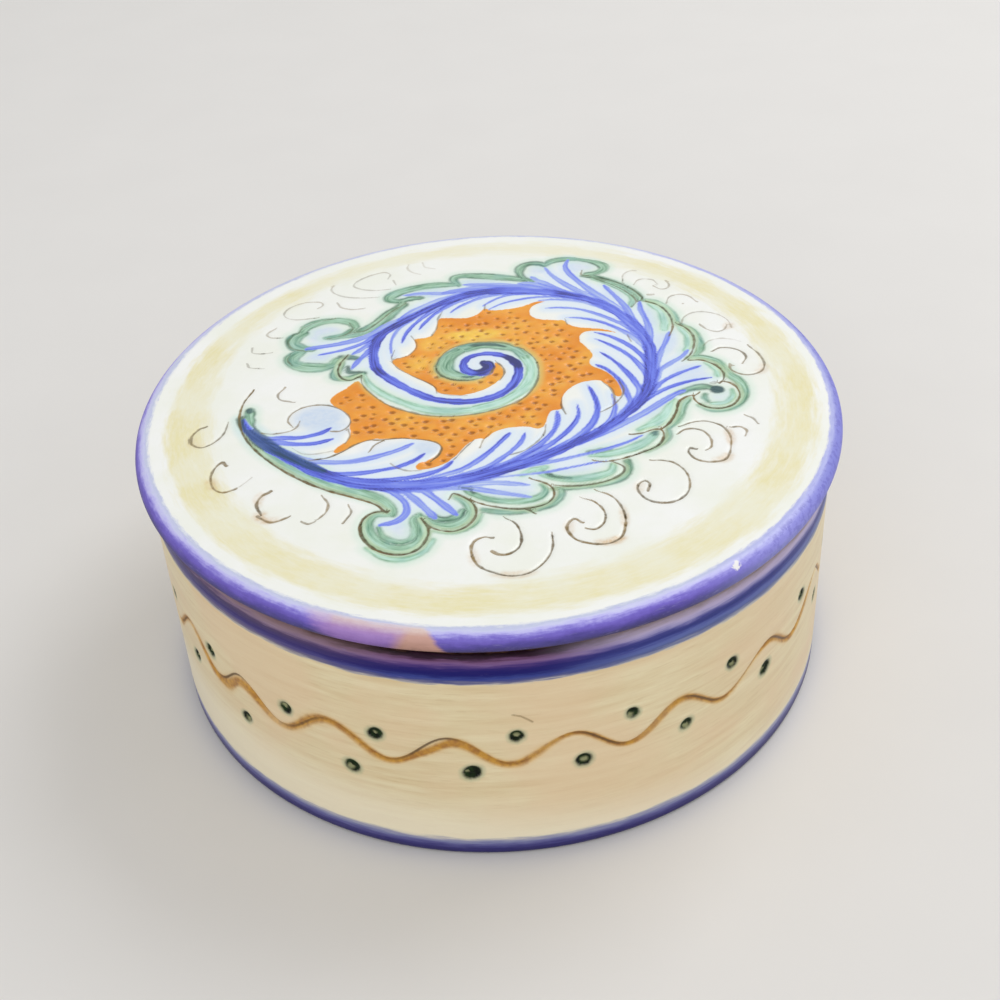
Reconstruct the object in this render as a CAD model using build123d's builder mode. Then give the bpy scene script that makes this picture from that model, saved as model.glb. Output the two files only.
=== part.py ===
from build123d import *
import os

# Thrown ceramic box: a straight cup and a flat lift-off lid, all sizes in millimetres.
# The axis of the cup is Z, the foot stands on Z = 0 and the painted wall faces -Y.

# Cup
body_radius = 56.0
body_height = 42.0
wall = 5.0
floor_thickness = 5.5
mouth_round = 1.0
rim_round = 1.8
base_round = 0.8
inner_corner = 4.0

# Foot under the cup
foot_width = 7.0
foot_recess = 1.2
foot_round = 0.5

# Lid disc and its overhanging lip
lid_overhang = 1.5
lid_thickness = 4.7
lip_gap = 1.5
lip_top_round = 2.0
lip_low_round = 1.0
seat_round = 0.4

# Ring under the lid that centres it in the mouth
ring_clearance = 0.8
ring_thickness = 4.0
ring_depth = 5.5
ring_round = 1.3
ring_root = 0.8

# Shared heights and radii that follow from the sizes above
mouth_radius = body_radius - wall
foot_inner_radius = body_radius - foot_width
floor_height = foot_recess + floor_thickness
seat_height = body_height
seat_outer_radius = body_radius - rim_round
lid_radius = body_radius + lid_overhang
lid_top = seat_height + lid_thickness
lip_bottom = seat_height + lip_gap
lip_inner_radius = seat_outer_radius + lip_gap
ring_outer_radius = mouth_radius - ring_clearance
ring_inner_radius = ring_outer_radius - ring_thickness
ring_bottom = seat_height - ring_depth

os.makedirs("parts", exist_ok=True)


with BuildPart() as box_body:
    with BuildSketch(Plane.XZ) as cup_section:
        with BuildLine():
            Polyline(
                (0, foot_recess),
                (foot_inner_radius, foot_recess),
                (foot_inner_radius, 0),
                (body_radius, 0),
                (body_radius, body_height),
                (mouth_radius, body_height),
                (mouth_radius, floor_height),
                (0, floor_height),
                close=True,
            )
        make_face()
        # Each corner of the section is rounded as a thrown and sponged edge is
        rim_corner = cup_section.vertices().sort_by_distance((body_radius, body_height))[0]
        fillet(rim_corner, rim_round)
        mouth_corner = cup_section.vertices().sort_by_distance((mouth_radius, body_height))[0]
        fillet(mouth_corner, mouth_round)
        base_corner = cup_section.vertices().sort_by_distance((body_radius, 0))[0]
        fillet(base_corner, base_round)
        floor_corner = cup_section.vertices().sort_by_distance((mouth_radius, floor_height))[0]
        fillet(floor_corner, inner_corner)
        foot_edge = cup_section.vertices().sort_by_distance((foot_inner_radius, 0))[0]
        fillet(foot_edge, foot_round)
        foot_root = cup_section.vertices().sort_by_distance((foot_inner_radius, foot_recess))[0]
        fillet(foot_root, foot_round)
    revolve(axis=Axis.Z)

box_body.part.label = "box_body"
export_step(box_body.part, "parts/box_body.step")


with BuildPart() as lid:
    with BuildSketch(Plane.XZ) as lid_section:
        with BuildLine():
            Polyline(
                (0, lid_top),
                (lid_radius, lid_top),
                (lid_radius, lip_bottom),
                (lip_inner_radius, lip_bottom),
                (seat_outer_radius, seat_height),
                (ring_outer_radius, seat_height),
                (ring_outer_radius, ring_bottom),
                (ring_inner_radius, ring_bottom),
                (ring_inner_radius, seat_height),
                (0, seat_height),
                close=True,
            )
        make_face()
        # The lip is rounded over, and the centring ring is eased so that it finds the mouth
        lip_top = lid_section.vertices().sort_by_distance((lid_radius, lid_top))[0]
        fillet(lip_top, lip_top_round)
        lip_low = lid_section.vertices().sort_by_distance((lid_radius, lip_bottom))[0]
        fillet(lip_low, lip_low_round)
        lip_root = lid_section.vertices().sort_by_distance((lip_inner_radius, lip_bottom))[0]
        fillet(lip_root, seat_round)
        ring_outer_edge = lid_section.vertices().sort_by_distance((ring_outer_radius, ring_bottom))[0]
        fillet(ring_outer_edge, ring_round)
        ring_inner_edge = lid_section.vertices().sort_by_distance((ring_inner_radius, ring_bottom))[0]
        fillet(ring_inner_edge, ring_round)
        ring_inner_root = lid_section.vertices().sort_by_distance((ring_inner_radius, seat_height))[0]
        fillet(ring_inner_root, ring_root)
    revolve(axis=Axis.Z)

lid.part.label = "lid"
export_step(lid.part, "parts/lid.step")
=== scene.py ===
import bpy
import numpy as np
from mathutils import Matrix, Vector


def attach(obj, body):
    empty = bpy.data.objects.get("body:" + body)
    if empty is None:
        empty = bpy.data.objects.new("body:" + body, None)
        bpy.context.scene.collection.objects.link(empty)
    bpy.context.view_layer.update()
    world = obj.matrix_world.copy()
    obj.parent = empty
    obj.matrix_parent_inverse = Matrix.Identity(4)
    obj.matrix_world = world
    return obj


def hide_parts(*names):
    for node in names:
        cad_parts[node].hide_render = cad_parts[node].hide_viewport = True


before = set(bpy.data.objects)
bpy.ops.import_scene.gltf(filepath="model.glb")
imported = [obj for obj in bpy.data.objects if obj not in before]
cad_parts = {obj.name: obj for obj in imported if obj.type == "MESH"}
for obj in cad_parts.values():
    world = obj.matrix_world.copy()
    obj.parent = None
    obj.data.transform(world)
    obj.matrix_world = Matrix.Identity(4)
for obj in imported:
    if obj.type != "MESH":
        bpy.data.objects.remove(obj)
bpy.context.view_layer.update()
scene = bpy.context.scene
mm = 0.001
hand = np.random.default_rng(41)  # one seeded source for every unevenness of the hand
reach = 2.5  # millimetres round a line within which its distance is kept
soft = {"interpolation_type": "SMOOTHSTEP"}
usual = (0.3, 0.7)  # where most of a noise lies


def linear(code):
    # sRGB hex to linear: a straight foot below 0.04045, the 2.4 power above it
    c = np.array([int(code[k:k + 2], 16) for k in (1, 3, 5)]) / 255
    return (*np.where(c <= 0.04045, c / 12.92, ((c + 0.055) / 1.055) ** 2.4).tolist(), 1.0)


def newMaterial(name):
    material = bpy.data.materials.new(name)
    material.use_nodes = True
    material.node_tree.nodes.clear()
    return material, material.node_tree


def addNode(kind, *inputs, out=0, **settings):
    # a node in the tree in hand: its properties, named inputs or stops of a ramp, and its inputs in order
    node = tree.nodes.new("ShaderNode" + kind)
    for key, value in [*settings.items(), *enumerate(inputs)]:
        if key == "stops":
            for position, _ in value[1:-1]:
                node.color_ramp.elements.new(position)
            for element, (position, code) in zip(node.color_ramp.elements, value):
                element.position, element.color = position, linear(code)
        elif isinstance(value, bpy.types.NodeSocket):
            tree.links.new(value, node.inputs[key])
        elif isinstance(key, str) and hasattr(node, key):
            setattr(node, key, value)
        elif value is not None:
            node.inputs[key].default_value = value
    return node.outputs[out] if node.outputs else None


def coat(under, paint, *masks):
    # paint over what lies under it, where all masks agree; (value, low, high, most) is a soft step up to most
    cover = None
    for mask in masks:
        if isinstance(mask, tuple):
            value, low, high, *most = mask
            mask = addNode("MapRange", value, low, high, 0, *(most or [1]), **soft)
        cover = mask if cover is None else addNode("Math", cover, mask, operation="MULTIPLY")
    paint = linear(paint) if isinstance(paint, str) else paint
    return addNode("Mix", cover, *[None] * 5, under, paint, data_type="RGBA", out=2)


def shaken(value, *noises):
    # a value made uneven: each noise moves it by up to its swing either way
    for noise, swing in noises:
        shift = addNode("MapRange", noise, *usual, -swing, swing)
        value = addNode("Math", value, shift, operation="ADD")
    return value


def colourAlong(value, low, high, *stops):
    # colours along a run of millimetres from low to high
    return addNode("ValToRGB", addNode("MapRange", value, low, high), stops=stops)


def surfaceSpots():
    # millimetres on the piece: the spot, its direction from the axis, its distance from the axis, its height
    spot = addNode("VectorMath", addNode("TexCoord", out="Object"), operation="SCALE", Scale=1000)
    flat = addNode("VectorMath", spot, (1, 1, 0), operation="MULTIPLY")
    heading = addNode("VectorMath", flat, operation="NORMALIZE")
    radius = addNode("VectorMath", flat, operation="LENGTH", out="Value")
    return spot, heading, radius, addNode("SeparateXYZ", spot, out=2)


def wheelStreaks(heading, circle, across, *noises):
    # streaks along the turn of the wheel: the direction on a small circle, so marks are drawn out round it
    # each noise is (marks in a millimetre, detail, roughness)
    around = addNode("VectorMath", heading, operation="SCALE", Scale=circle)
    place = addNode("VectorMath", around, addNode("CombineXYZ", 0, 0, across), operation="ADD")
    return [addNode("TexNoise", Vector=place, Scale=s, Detail=d, Roughness=r) for s, d, r in noises]


def brushHairs(stroke, along, across):
    # hairs of the brush: noise drawn out along a stroke by its run and side, so many marks in a millimetre
    place = addNode("CombineXYZ", field[stroke + "Run"], field[stroke + "Side"])
    place = addNode("VectorMath", place, (along, across, 1), operation="MULTIPLY")
    return addNode("TexNoise", Vector=place, Scale=1, Detail=3, Roughness=0.6)


def plainGlaze(spot, bare, patch, sheen, *stops):
    # glaze cloudy in patches, and gritty dull clay where it is bare
    cloud = addNode("TexNoise", Vector=spot, Scale=1 / patch, Detail=4)
    grit = addNode("TexNoise", Vector=spot, Scale=1 / 0.5, Detail=2)
    clay = addNode("ValToRGB", grit, stops=[(0.3, "#8E6A50"), (0.7, "#A98465")])
    colour = coat(addNode("ValToRGB", cloud, stops=stops), clay, bare)
    return colour, addNode("MapRange", bare, 0, 1, sheen, 0.8), cloud, grit


def closeMaterial(colour, gloss, height, depth, strength):
    # the shader of glaze or fired clay over a low relief, its depth in millimetres
    relief = addNode("Bump", Height=height, Distance=depth * mm, Strength=strength)
    shader = addNode("BsdfPrincipled", colour, IOR=1.5, Roughness=gloss, Normal=relief)
    addNode("OutputMaterial", shader)


def smooth(low, high, value):
    # smooth step: 0 below low, 1 above high, with level ends
    t = np.clip((value - low) / (high - low), 0, 1)
    return t * t * (3 - 2 * t)


def bell(value, middle, width):
    # 1 at the middle, falling off by the square of the distance in widths
    return np.exp(-((value - middle) / width) ** 2)


def curveThrough(points, steps=9):
    # Catmull-Rom curve: each span is a cubic whose slope at a point is half the chord of its neighbours
    p = np.asarray(points, float)
    q = np.vstack([2 * p[0] - p[1], p, 2 * p[-1] - p[-2]])
    a, b, c, d = (q[k:k + len(p) - 1, None] for k in range(4))
    t = np.linspace(0, 1, steps, endpoint=False)[None, :, None]
    curve = 2 * b + (c - a) * t + (2 * a - 5 * b + 4 * c - d) * t ** 2 + (3 * b - a - 3 * c + d) * t ** 3
    return np.vstack([0.5 * curve.reshape(-1, 2), p[-1:]])


def stepLengths(line):
    return np.sqrt((np.diff(line, axis=0) ** 2).sum(1))


def strokeField(spots, curve, half, reach):
    # at the nearest stretch of the line: edge is the distance less the half width, run the length so far,
    # side the offset to the left; taken 24 stretches at a time, over the spots within reach of them
    edge = np.full(len(spots), reach)
    run, side = np.zeros((2, len(spots)))
    onLine = spots.copy()
    pieces = np.diff(curve, axis=0)
    lengths = np.maximum(stepLengths(curve), 1e-6)
    starts = np.cumsum(lengths) - lengths
    for low in range(0, len(pieces), 24):
        step, a, h = pieces[low:low + 24], curve[low:low + 25], half[low:low + 25]
        margin = h.max() + reach
        near = np.flatnonzero(((spots > a.min(0) - margin) & (spots < a.max(0) + margin)).all(1))
        out = spots[near, None] - a[None, :-1]
        t = np.clip((out * step).sum(2) / lengths[low:low + 24] ** 2, 0, 1)
        gap = np.sqrt(((out - t[..., None] * step) ** 2).sum(2)) - (h[:-1] + t * (h[1:] - h[:-1]))
        best = gap.argmin(1)
        pick = np.arange(len(near)), best
        better = gap[pick] < edge[near]
        hit, k, t, out = near[better], best[better], t[pick][better], out[pick][better]
        edge[hit] = gap[pick][better]
        run[hit] = starts[low + k] + t * lengths[low + k]
        side[hit] = (step[k, 0] * out[:, 1] - step[k, 1] * out[:, 0]) / lengths[low + k]
        onLine[hit] = a[k] + t[:, None] * step[k]
    return edge, run, side, onLine


def regionEdge(spots, outline):
    # signed distance to a closed outline, negative inside: an odd number of crossings to the right is inside
    closed = np.vstack([outline, outline[:1]])
    distance = strokeField(spots, closed, np.zeros(len(closed)), 3.0)[0]
    x, y = spots.T
    inside = np.zeros(len(spots), bool)
    for (x0, y0), (x1, y1) in zip(closed[:-1], closed[1:]):
        rise = y1 - y0 if y1 != y0 else 1e-9
        inside ^= ((y0 > y) != (y1 > y)) & (x < x0 + (y - y0) * (x1 - x0) / rise)
    return np.where(inside, -distance, distance)


def cutCorners(outline, rounds=2):
    # Chaikin: each side of the outline keeps its middle half, so corners round off
    p = np.asarray(outline, float)
    for _ in range(rounds):
        q = np.roll(p, -1, 0)
        p = np.stack([0.75 * p + 0.25 * q, 0.25 * p + 0.75 * q], 1).reshape(-1, 2)
    return p


def arc(cx, cz, radius, start, end, count):
    # points of a rounding: centre plus radius at even angles
    a = np.radians(np.linspace(start, end, count))
    return np.stack([cx + radius * np.cos(a), cz + radius * np.sin(a)], 1)


def spunRings(line, angles):
    # each point of the line carried round the axis: radius and height kept, angle turned
    r, z = line[:, 0, None], line[:, 1, None]
    return np.stack([r * np.cos(angles), r * np.sin(angles), z + 0 * angles], 2).reshape(-1, 3)


def ringFaces(start, rows, count, pole=None):
    # quads between neighbouring rings, then a fan from the last ring to the pole
    k = np.arange(count)
    n = (k + 1) % count
    rings = start + count * np.arange(rows)
    faces = [np.stack([r + k, r + count + k, r + count + n, r + n], 1) for r in rings[:-1]]
    if pole:
        faces.append(np.stack([rings[-1] + k, np.full(count, pole), rings[-1] + n], 1))
    return faces


def fourToOne(fine, start):
    # joins a ring of 4 x count points to one of count points: five triangles for each coarse side
    count = len(fine) // 4
    k = np.arange(count)
    f = [fine[(4 * k + j) % len(fine)] for j in range(5)]
    c0, c1 = start + k, start + (k + 1) % count
    fans = [(f[0], c0, f[1]), (f[1], c0, f[2]), (f[2], c0, c1), (f[2], c1, f[3]), (f[3], c1, f[4])]
    return np.concatenate([np.stack(tri, 1) for tri in fans])


def makePiece(name, points, faces, fields, materials, slots):
    mesh = bpy.data.meshes.new(name)
    mesh.from_pydata((points * mm).tolist(), [], [f for group in faces for f in group.tolist()])
    for key, values in fields.items():
        mesh.attributes.new(key, "FLOAT", "POINT").data.foreach_set("value", values.astype(np.float32))
    for material in materials:
        mesh.materials.append(material)
    mesh.polygons.foreach_set("material_index", np.concatenate(slots).astype(np.int32))
    mesh.polygons.foreach_set("use_smooth", np.ones(len(mesh.polygons), bool))
    mesh.update()
    piece = bpy.data.objects.new(name, mesh)
    scene.collection.objects.link(piece)
    return piece


# camera at the photograph's view
view = {"target": (1.21, 12.40, 16.06), "distance": 283.8, "elevation": 37.69, "roll": 3.44, "lens": 55.97}

eye = bpy.data.cameras.new("camera")
eye.sensor_width = 36.0
eye.lens = view["lens"]
camera = bpy.data.objects.new("camera", eye)
scene.collection.objects.link(camera)
tilt, turn = np.radians(view["elevation"]), np.radians(view["roll"])
right = Vector((1, 0, 0))
up = Vector((0, np.sin(tilt), np.cos(tilt)))
ahead = Vector((0, np.cos(tilt), -np.sin(tilt)))
camRight = right * np.cos(turn) - up * np.sin(turn)
camUp = right * np.sin(turn) + up * np.cos(turn)
place = Vector(view["target"]) * mm - ahead * view["distance"] * mm
camera.matrix_world = Matrix.Translation(place) @ Matrix((camRight, camUp, -ahead)).transposed().to_4x4()
scene.camera = camera
print("camera placed")

# lid: the painted and scratched scroll
# all spots are millimetres on the lid's top, x to the right and y away from the viewer
# a stroke is (half width at start, middle, end, strength, points along its line)
blueRib = [
    (-40, -1.8), (-39, -4.7), (-36.5, -8.2), (-33, -11.9), (-29, -15.6), (-25, -18.6), (-21, -20.7),
    (-16, -21.9), (-11, -22.3), (-6, -21.8), (-1, -20.6), (4, -18.8), (8, -17), (12, -14.7), (16, -12.1),
    (20, -9), (23, -5.8), (25.3, -2.5), (27, 1.5), (27.8, 6), (28.2, 11), (28, 15), (26.8, 19), (25, 23),
    (22.5, 26.8), (19.5, 29.7), (16, 31.7), (12, 33.3), (7, 34.5), (2, 34.9), (-3, 33.9), (-8, 31.1),
    (-12.3, 27.6), (-15.9, 24.3), (-18.2, 21), (-19, 17), (-18.8, 13), (-18, 10.4), (-16.2, 7.9),
    (-14, 5.4), (-11.5, 3), (-9, 1.1), (-6, 0), (-3, -0.4), (0, 0.1), (2.6, 1.5), (4.6, 4), (5.6, 7.2),
    (5.5, 9.8), (4.3, 12), (2.3, 13.4), (-0.2, 13.9), (-2.6, 13), (-3.6, 11.2), (-3.4, 9.4), (-2.3, 8.3),
    (-0.7, 8.1), (0.5, 9), (0.7, 10.2), (-0.1, 11)]
ribHalf = [
    0.3, 0.8, 1.2, 1.4, 1.5, 1.55, 1.6, 1.7, 1.65, 1.6, 1.55, 1.5, 1.35, 1.2, 1.1, 1.05, 1.1, 1.25, 1.35,
    1.4, 1.35, 1.2, 1.35, 1.45, 1.4, 1.2, 1.2, 1.3, 1.4, 1.45, 1.3, 0.95, 0.85, 1, 1.15, 1.1, 1.15, 1.15,
    1.05, 1.05, 1.05, 1.05, 1.05, 1.05, 1.05, 1.05, 1.05, 1.05, 1.05, 0.95, 0.85, 0.75, 0.75, 0.9, 1.05,
    1.15, 1.25, 1.3, 1.3, 1.1]

blueStrokes = [
    # veins inside the curl, from tip to rib
    (0.4, 0.55, 0.5, 0.75, [(-25.3, -5.6), (-27, -6.9), (-30, -7.8), (-33, -7.6), (-36, -7.2)]),
    (0.4, 0.58, 0.6, 0.75, [(-24.8, -8.7), (-27.5, -9.6), (-30.5, -9.6), (-34, -8.7), (-37, -7.7)]),
    (0.4, 0.62, 0.6, 0.55, [(-12, -11.3), (-14.5, -12.9), (-18, -14.3), (-22, -15.2), (-26, -14.9),
        (-29.5, -13.6)]),
    (0.42, 0.5, 0.6, 0.8, [(-10.2, -14.2), (-11.7, -15.8), (-14.2, -17.2), (-17.5, -18), (-21, -18.4),
        (-25, -17.9)]),
    (0.4, 0.55, 0.6, 0.75, [(-5.9, -16.7), (-7.3, -18.4), (-10, -19.7), (-13, -20.3), (-17, -20.6)]),
    (0.4, 0.5, 0.6, 0.7, [(3.4, -10), (2, -12), (0.2, -14.5), (-2, -17), (-4.5, -19)]),
    (0.36, 0.45, 0.55, 0.65, [(5.8, -10.3), (5.2, -12.3), (3.7, -14.6), (1.5, -17), (-1, -19)]),
    (0.45, 0.55, 0.6, 0.7, [(11.3, -4.8), (11.2, -7.5), (10.2, -10.5), (8, -13.5), (5, -16.3), (2, -18.3)]),
    (0.25, 0.52, 0.6, 0.72, [(14.7, -3), (14.7, -6), (13.5, -9), (11.3, -12), (8.5, -14.7), (5, -17)]),
    (0.22, 0.6, 0.6, 0.8, [(16.8, 2.4), (17.5, -0.3), (17.9, -4), (17.2, -7.5), (15.5, -10.5), (13, -13)]),
    (0.2, 0.5, 0.6, 0.6, [(20.5, -0.6), (20.8, -3.5), (20.2, -6.8), (18.6, -9.4), (16, -12)]),
    (0.35, 0.45, 0.6, 0.75, [(18.7, 8.4), (20.4, 6.8), (22.1, 3.6), (22.9, 0), (23.3, -3.5)]),
    (0.25, 0.5, 0.65, 0.8, [(19.8, 12.2), (21.5, 9.8), (23.3, 6.3), (24.7, 2.5), (25.2, -0.5)]),
    (0.22, 0.48, 0.6, 0.75, [(19.2, 16.6), (21.5, 14.5), (24, 11.5), (25.8, 8), (26.8, 4.5)]),
    (0.3, 0.5, 0.6, 0.75, [(19.4, 18.7), (22, 17), (24.5, 14.3), (26.4, 11), (27.3, 8)]),
    (0.22, 0.42, 0.55, 0.6, [(14.8, 24.2), (17.5, 23.7), (20.5, 22.2), (23, 20), (25.5, 17)]),
    (0.22, 0.4, 0.5, 0.6, [(11.4, 27.8), (14, 27.7), (17, 26.9), (20, 25), (23, 22.3), (25, 20)]),
    (0.25, 0.35, 0.45, 0.35, [(10.3, 30.6), (13, 30.6), (17, 29.6), (20.5, 27.5)]),
    (0.18, 0.32, 0.4, 0.6, [(1.3, 28.6), (3.5, 30.2), (6.5, 31.3), (10, 31.8), (13.5, 31.5)]),
    (0.18, 0.3, 0.4, 0.55, [(0.2, 29.9), (1.4, 31), (3.2, 32.4), (5.5, 33.3)]),
    (0.22, 0.36, 0.45, 0.6, [(-5.6, 28.2), (-4.3, 29.8), (-2.3, 31.4), (0, 32.8)]),
    (0.3, 0.42, 0.6, 0.7, [(-11.2, 23.1), (-10.2, 25.2), (-8.6, 27.8), (-6.3, 30.3), (-4, 32)]),
    (0.3, 0.42, 0.55, 0.7, [(-14.2, 19), (-13.6, 21.6), (-12.3, 24.5), (-10.3, 27.4), (-8, 30)]),
    (0.2, 0.3, 0.4, 0.5, [(-15.8, 14.6), (-16.1, 18), (-15.8, 21), (-14.6, 24)]),
    # veins of the outer lobes, from tip to rib
    (0.3, 0.45, 0.6, 0.6, [(-28.5, 16.7), (-26, 17.3), (-23, 18.4), (-20.5, 20), (-18.5, 22)]),
    (0.6, 0.7, 0.8, 0.55, [(-30.8, 18.9), (-28, 19.3), (-25, 19.9), (-22, 20.9), (-19.5, 22.5),
        (-17.5, 24.5)]),
    (0.4, 0.55, 0.6, 0.45, [(-22.7, 16.2), (-21.3, 17.6), (-19.6, 19.6)]),
    (0.4, 0.55, 0.5, 0.6, [(-22.6, 11.6), (-21.7, 13.8), (-20.4, 16), (-19.3, 18.5)]),
    (0.35, 0.9, 0.8, 0.42, [(-15, 26.8), (-12.6, 29.1), (-10, 31), (-7.5, 32.5), (-4, 34.3)]),
    (0.35, 0.55, 0.5, 0.42, [(-14.2, 35.2), (-11.5, 35.5), (-9, 35.4), (-6.4, 35.1)]),
    (0.5, 1.1, 1, 0.4, [(-6.8, 35.4), (-3, 36), (1, 36.3), (5, 35.8), (9, 35)]),
    (0.35, 0.75, 0.8, 0.38, [(-3.2, 37.8), (0, 37.5), (4, 36.8), (8, 35.8)]),
    (0.5, 0.8, 0.7, 0.38, [(7, 37.2), (10, 36.4), (13.5, 34.2), (16.5, 32)]),
    (0.4, 0.65, 0.6, 0.4, [(9.4, 39.2), (10.5, 37.8), (12.5, 35.8), (15, 33.3)]),
    (0.35, 0.6, 0.85, 0.45, [(12.1, 42.4), (13, 39.9), (14.7, 36.9), (17, 33.8), (19.5, 31)]),
    (0.4, 0.65, 0.85, 0.5, [(16.6, 44.8), (15.9, 42.5), (16.4, 39.8), (18, 36.4), (20, 32.8),
        (22.5, 28.8)]),
    (0.4, 0.55, 0.7, 0.55, [(22.4, 34.6), (23.3, 32.3), (24.5, 29.5), (25.7, 26), (26.5, 22)]),
    (0.35, 0.6, 0.7, 0.55, [(28.2, 28.4), (28.1, 25.5), (28.7, 21.5), (28.8, 18), (28.4, 13.5)]),
    (0.4, 0.5, 0.6, 0.55, [(32.2, 17.5), (31.4, 14.8), (30.3, 12), (29.2, 8.8)]),
    (0.4, 0.5, 0.55, 0.5, [(34.6, 11.2), (33.3, 9.3), (31.2, 7.5), (29.3, 5.6), (28.5, 3.5)]),
    (0.36, 0.45, 0.5, 0.65, [(36, 6.1), (33, 4.7), (30.2, 2.9), (28.2, 0.8)]),
    (0.34, 0.45, 0.6, 0.8, [(37.3, 2.4), (34.3, 1.9), (31, 0.7), (28.3, -0.9), (25.8, -2.9)]),
    (0.5, 0.7, 0.8, 0.55, [(32.5, -0.9), (31, -1.7), (28.5, -3.8), (25, -6.8), (21, -9.6), (17, -12)]),
    (0.25, 0.4, 0.5, 0.55, [(24.3, -12.7), (22, -14.2), (18.5, -15.8), (14.5, -17), (10, -18.2), (6, -19)]),
    (0.22, 0.28, 0.3, 0.6, [(18, -18.8), (15, -19.5), (12, -20.2), (9, -20.9)]),
    (0.45, 0.6, 0.7, 0.4, [(5.8, -26.9), (3, -26), (0, -25), (-3, -24), (-5.5, -23.5)]),
    (0.4, 0.6, 0.7, 0.35, [(5.8, -24), (3, -23.3), (0, -22.8), (-3, -22.8)]),
    (0.6, 0.65, 0.6, 0.55, [(-5.4, -30.2), (-7, -28), (-8.8, -25.6), (-10.5, -23.8)]),
    (0.65, 0.65, 0.6, 0.55, [(-8.6, -30.6), (-10.2, -28), (-12, -25.3), (-13.8, -23.5)]),
    (0.6, 0.6, 0.6, 0.6, [(-16.8, -31.6), (-14.3, -30.9), (-12.9, -29), (-13.1, -26.5), (-14.8, -24),
        (-16.5, -22.8)])]

# second passes of the brush that darken the rib
bluePasses = [
    (0.5, 0.8, 0.7, 0.6, [(-37.5, -7), (-33, -11.9), (-28, -16.5), (-22.5, -20)]),
    (0.4, 0.6, 0.5, 0.45, [(-9, -22.8), (-4, -22.2), (1, -20.6), (6, -18.5), (12, -15), (18, -11),
        (22.5, -6.5)]),
    (0.4, 0.6, 0.4, 0.45, [(25.4, -2.9), (26.7, 0.2), (27.6, 4)]),
    (0.4, 0.75, 0.4, 0.55, [(12.5, 33.2), (16, 31.9), (19, 30.2)]),
    (0.4, 0.8, 0.5, 0.5, [(-4.5, 34), (0, 34.8), (5, 34.7)]),
    (0.4, 0.65, 0.4, 0.5, [(-17, 23), (-14.5, 25.6), (-12, 27.8)]),
    (0.5, 0.9, 0.5, 0.5, [(-18.9, 12), (-18.2, 10.2), (-16.8, 8.7)]),
    (0.7, 1, 0.6, 0.85, [(5.9, 8), (5.5, 10.2), (4.2, 12.1), (2.6, 13.2)]),
    (1.2, 1.5, 1.2, 0.98, [(-2.4, 8.4), (-1, 8.6), (0.3, 9.4), (0.2, 10.6), (-1.2, 11.2), (-2.2, 10.8)])]

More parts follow.
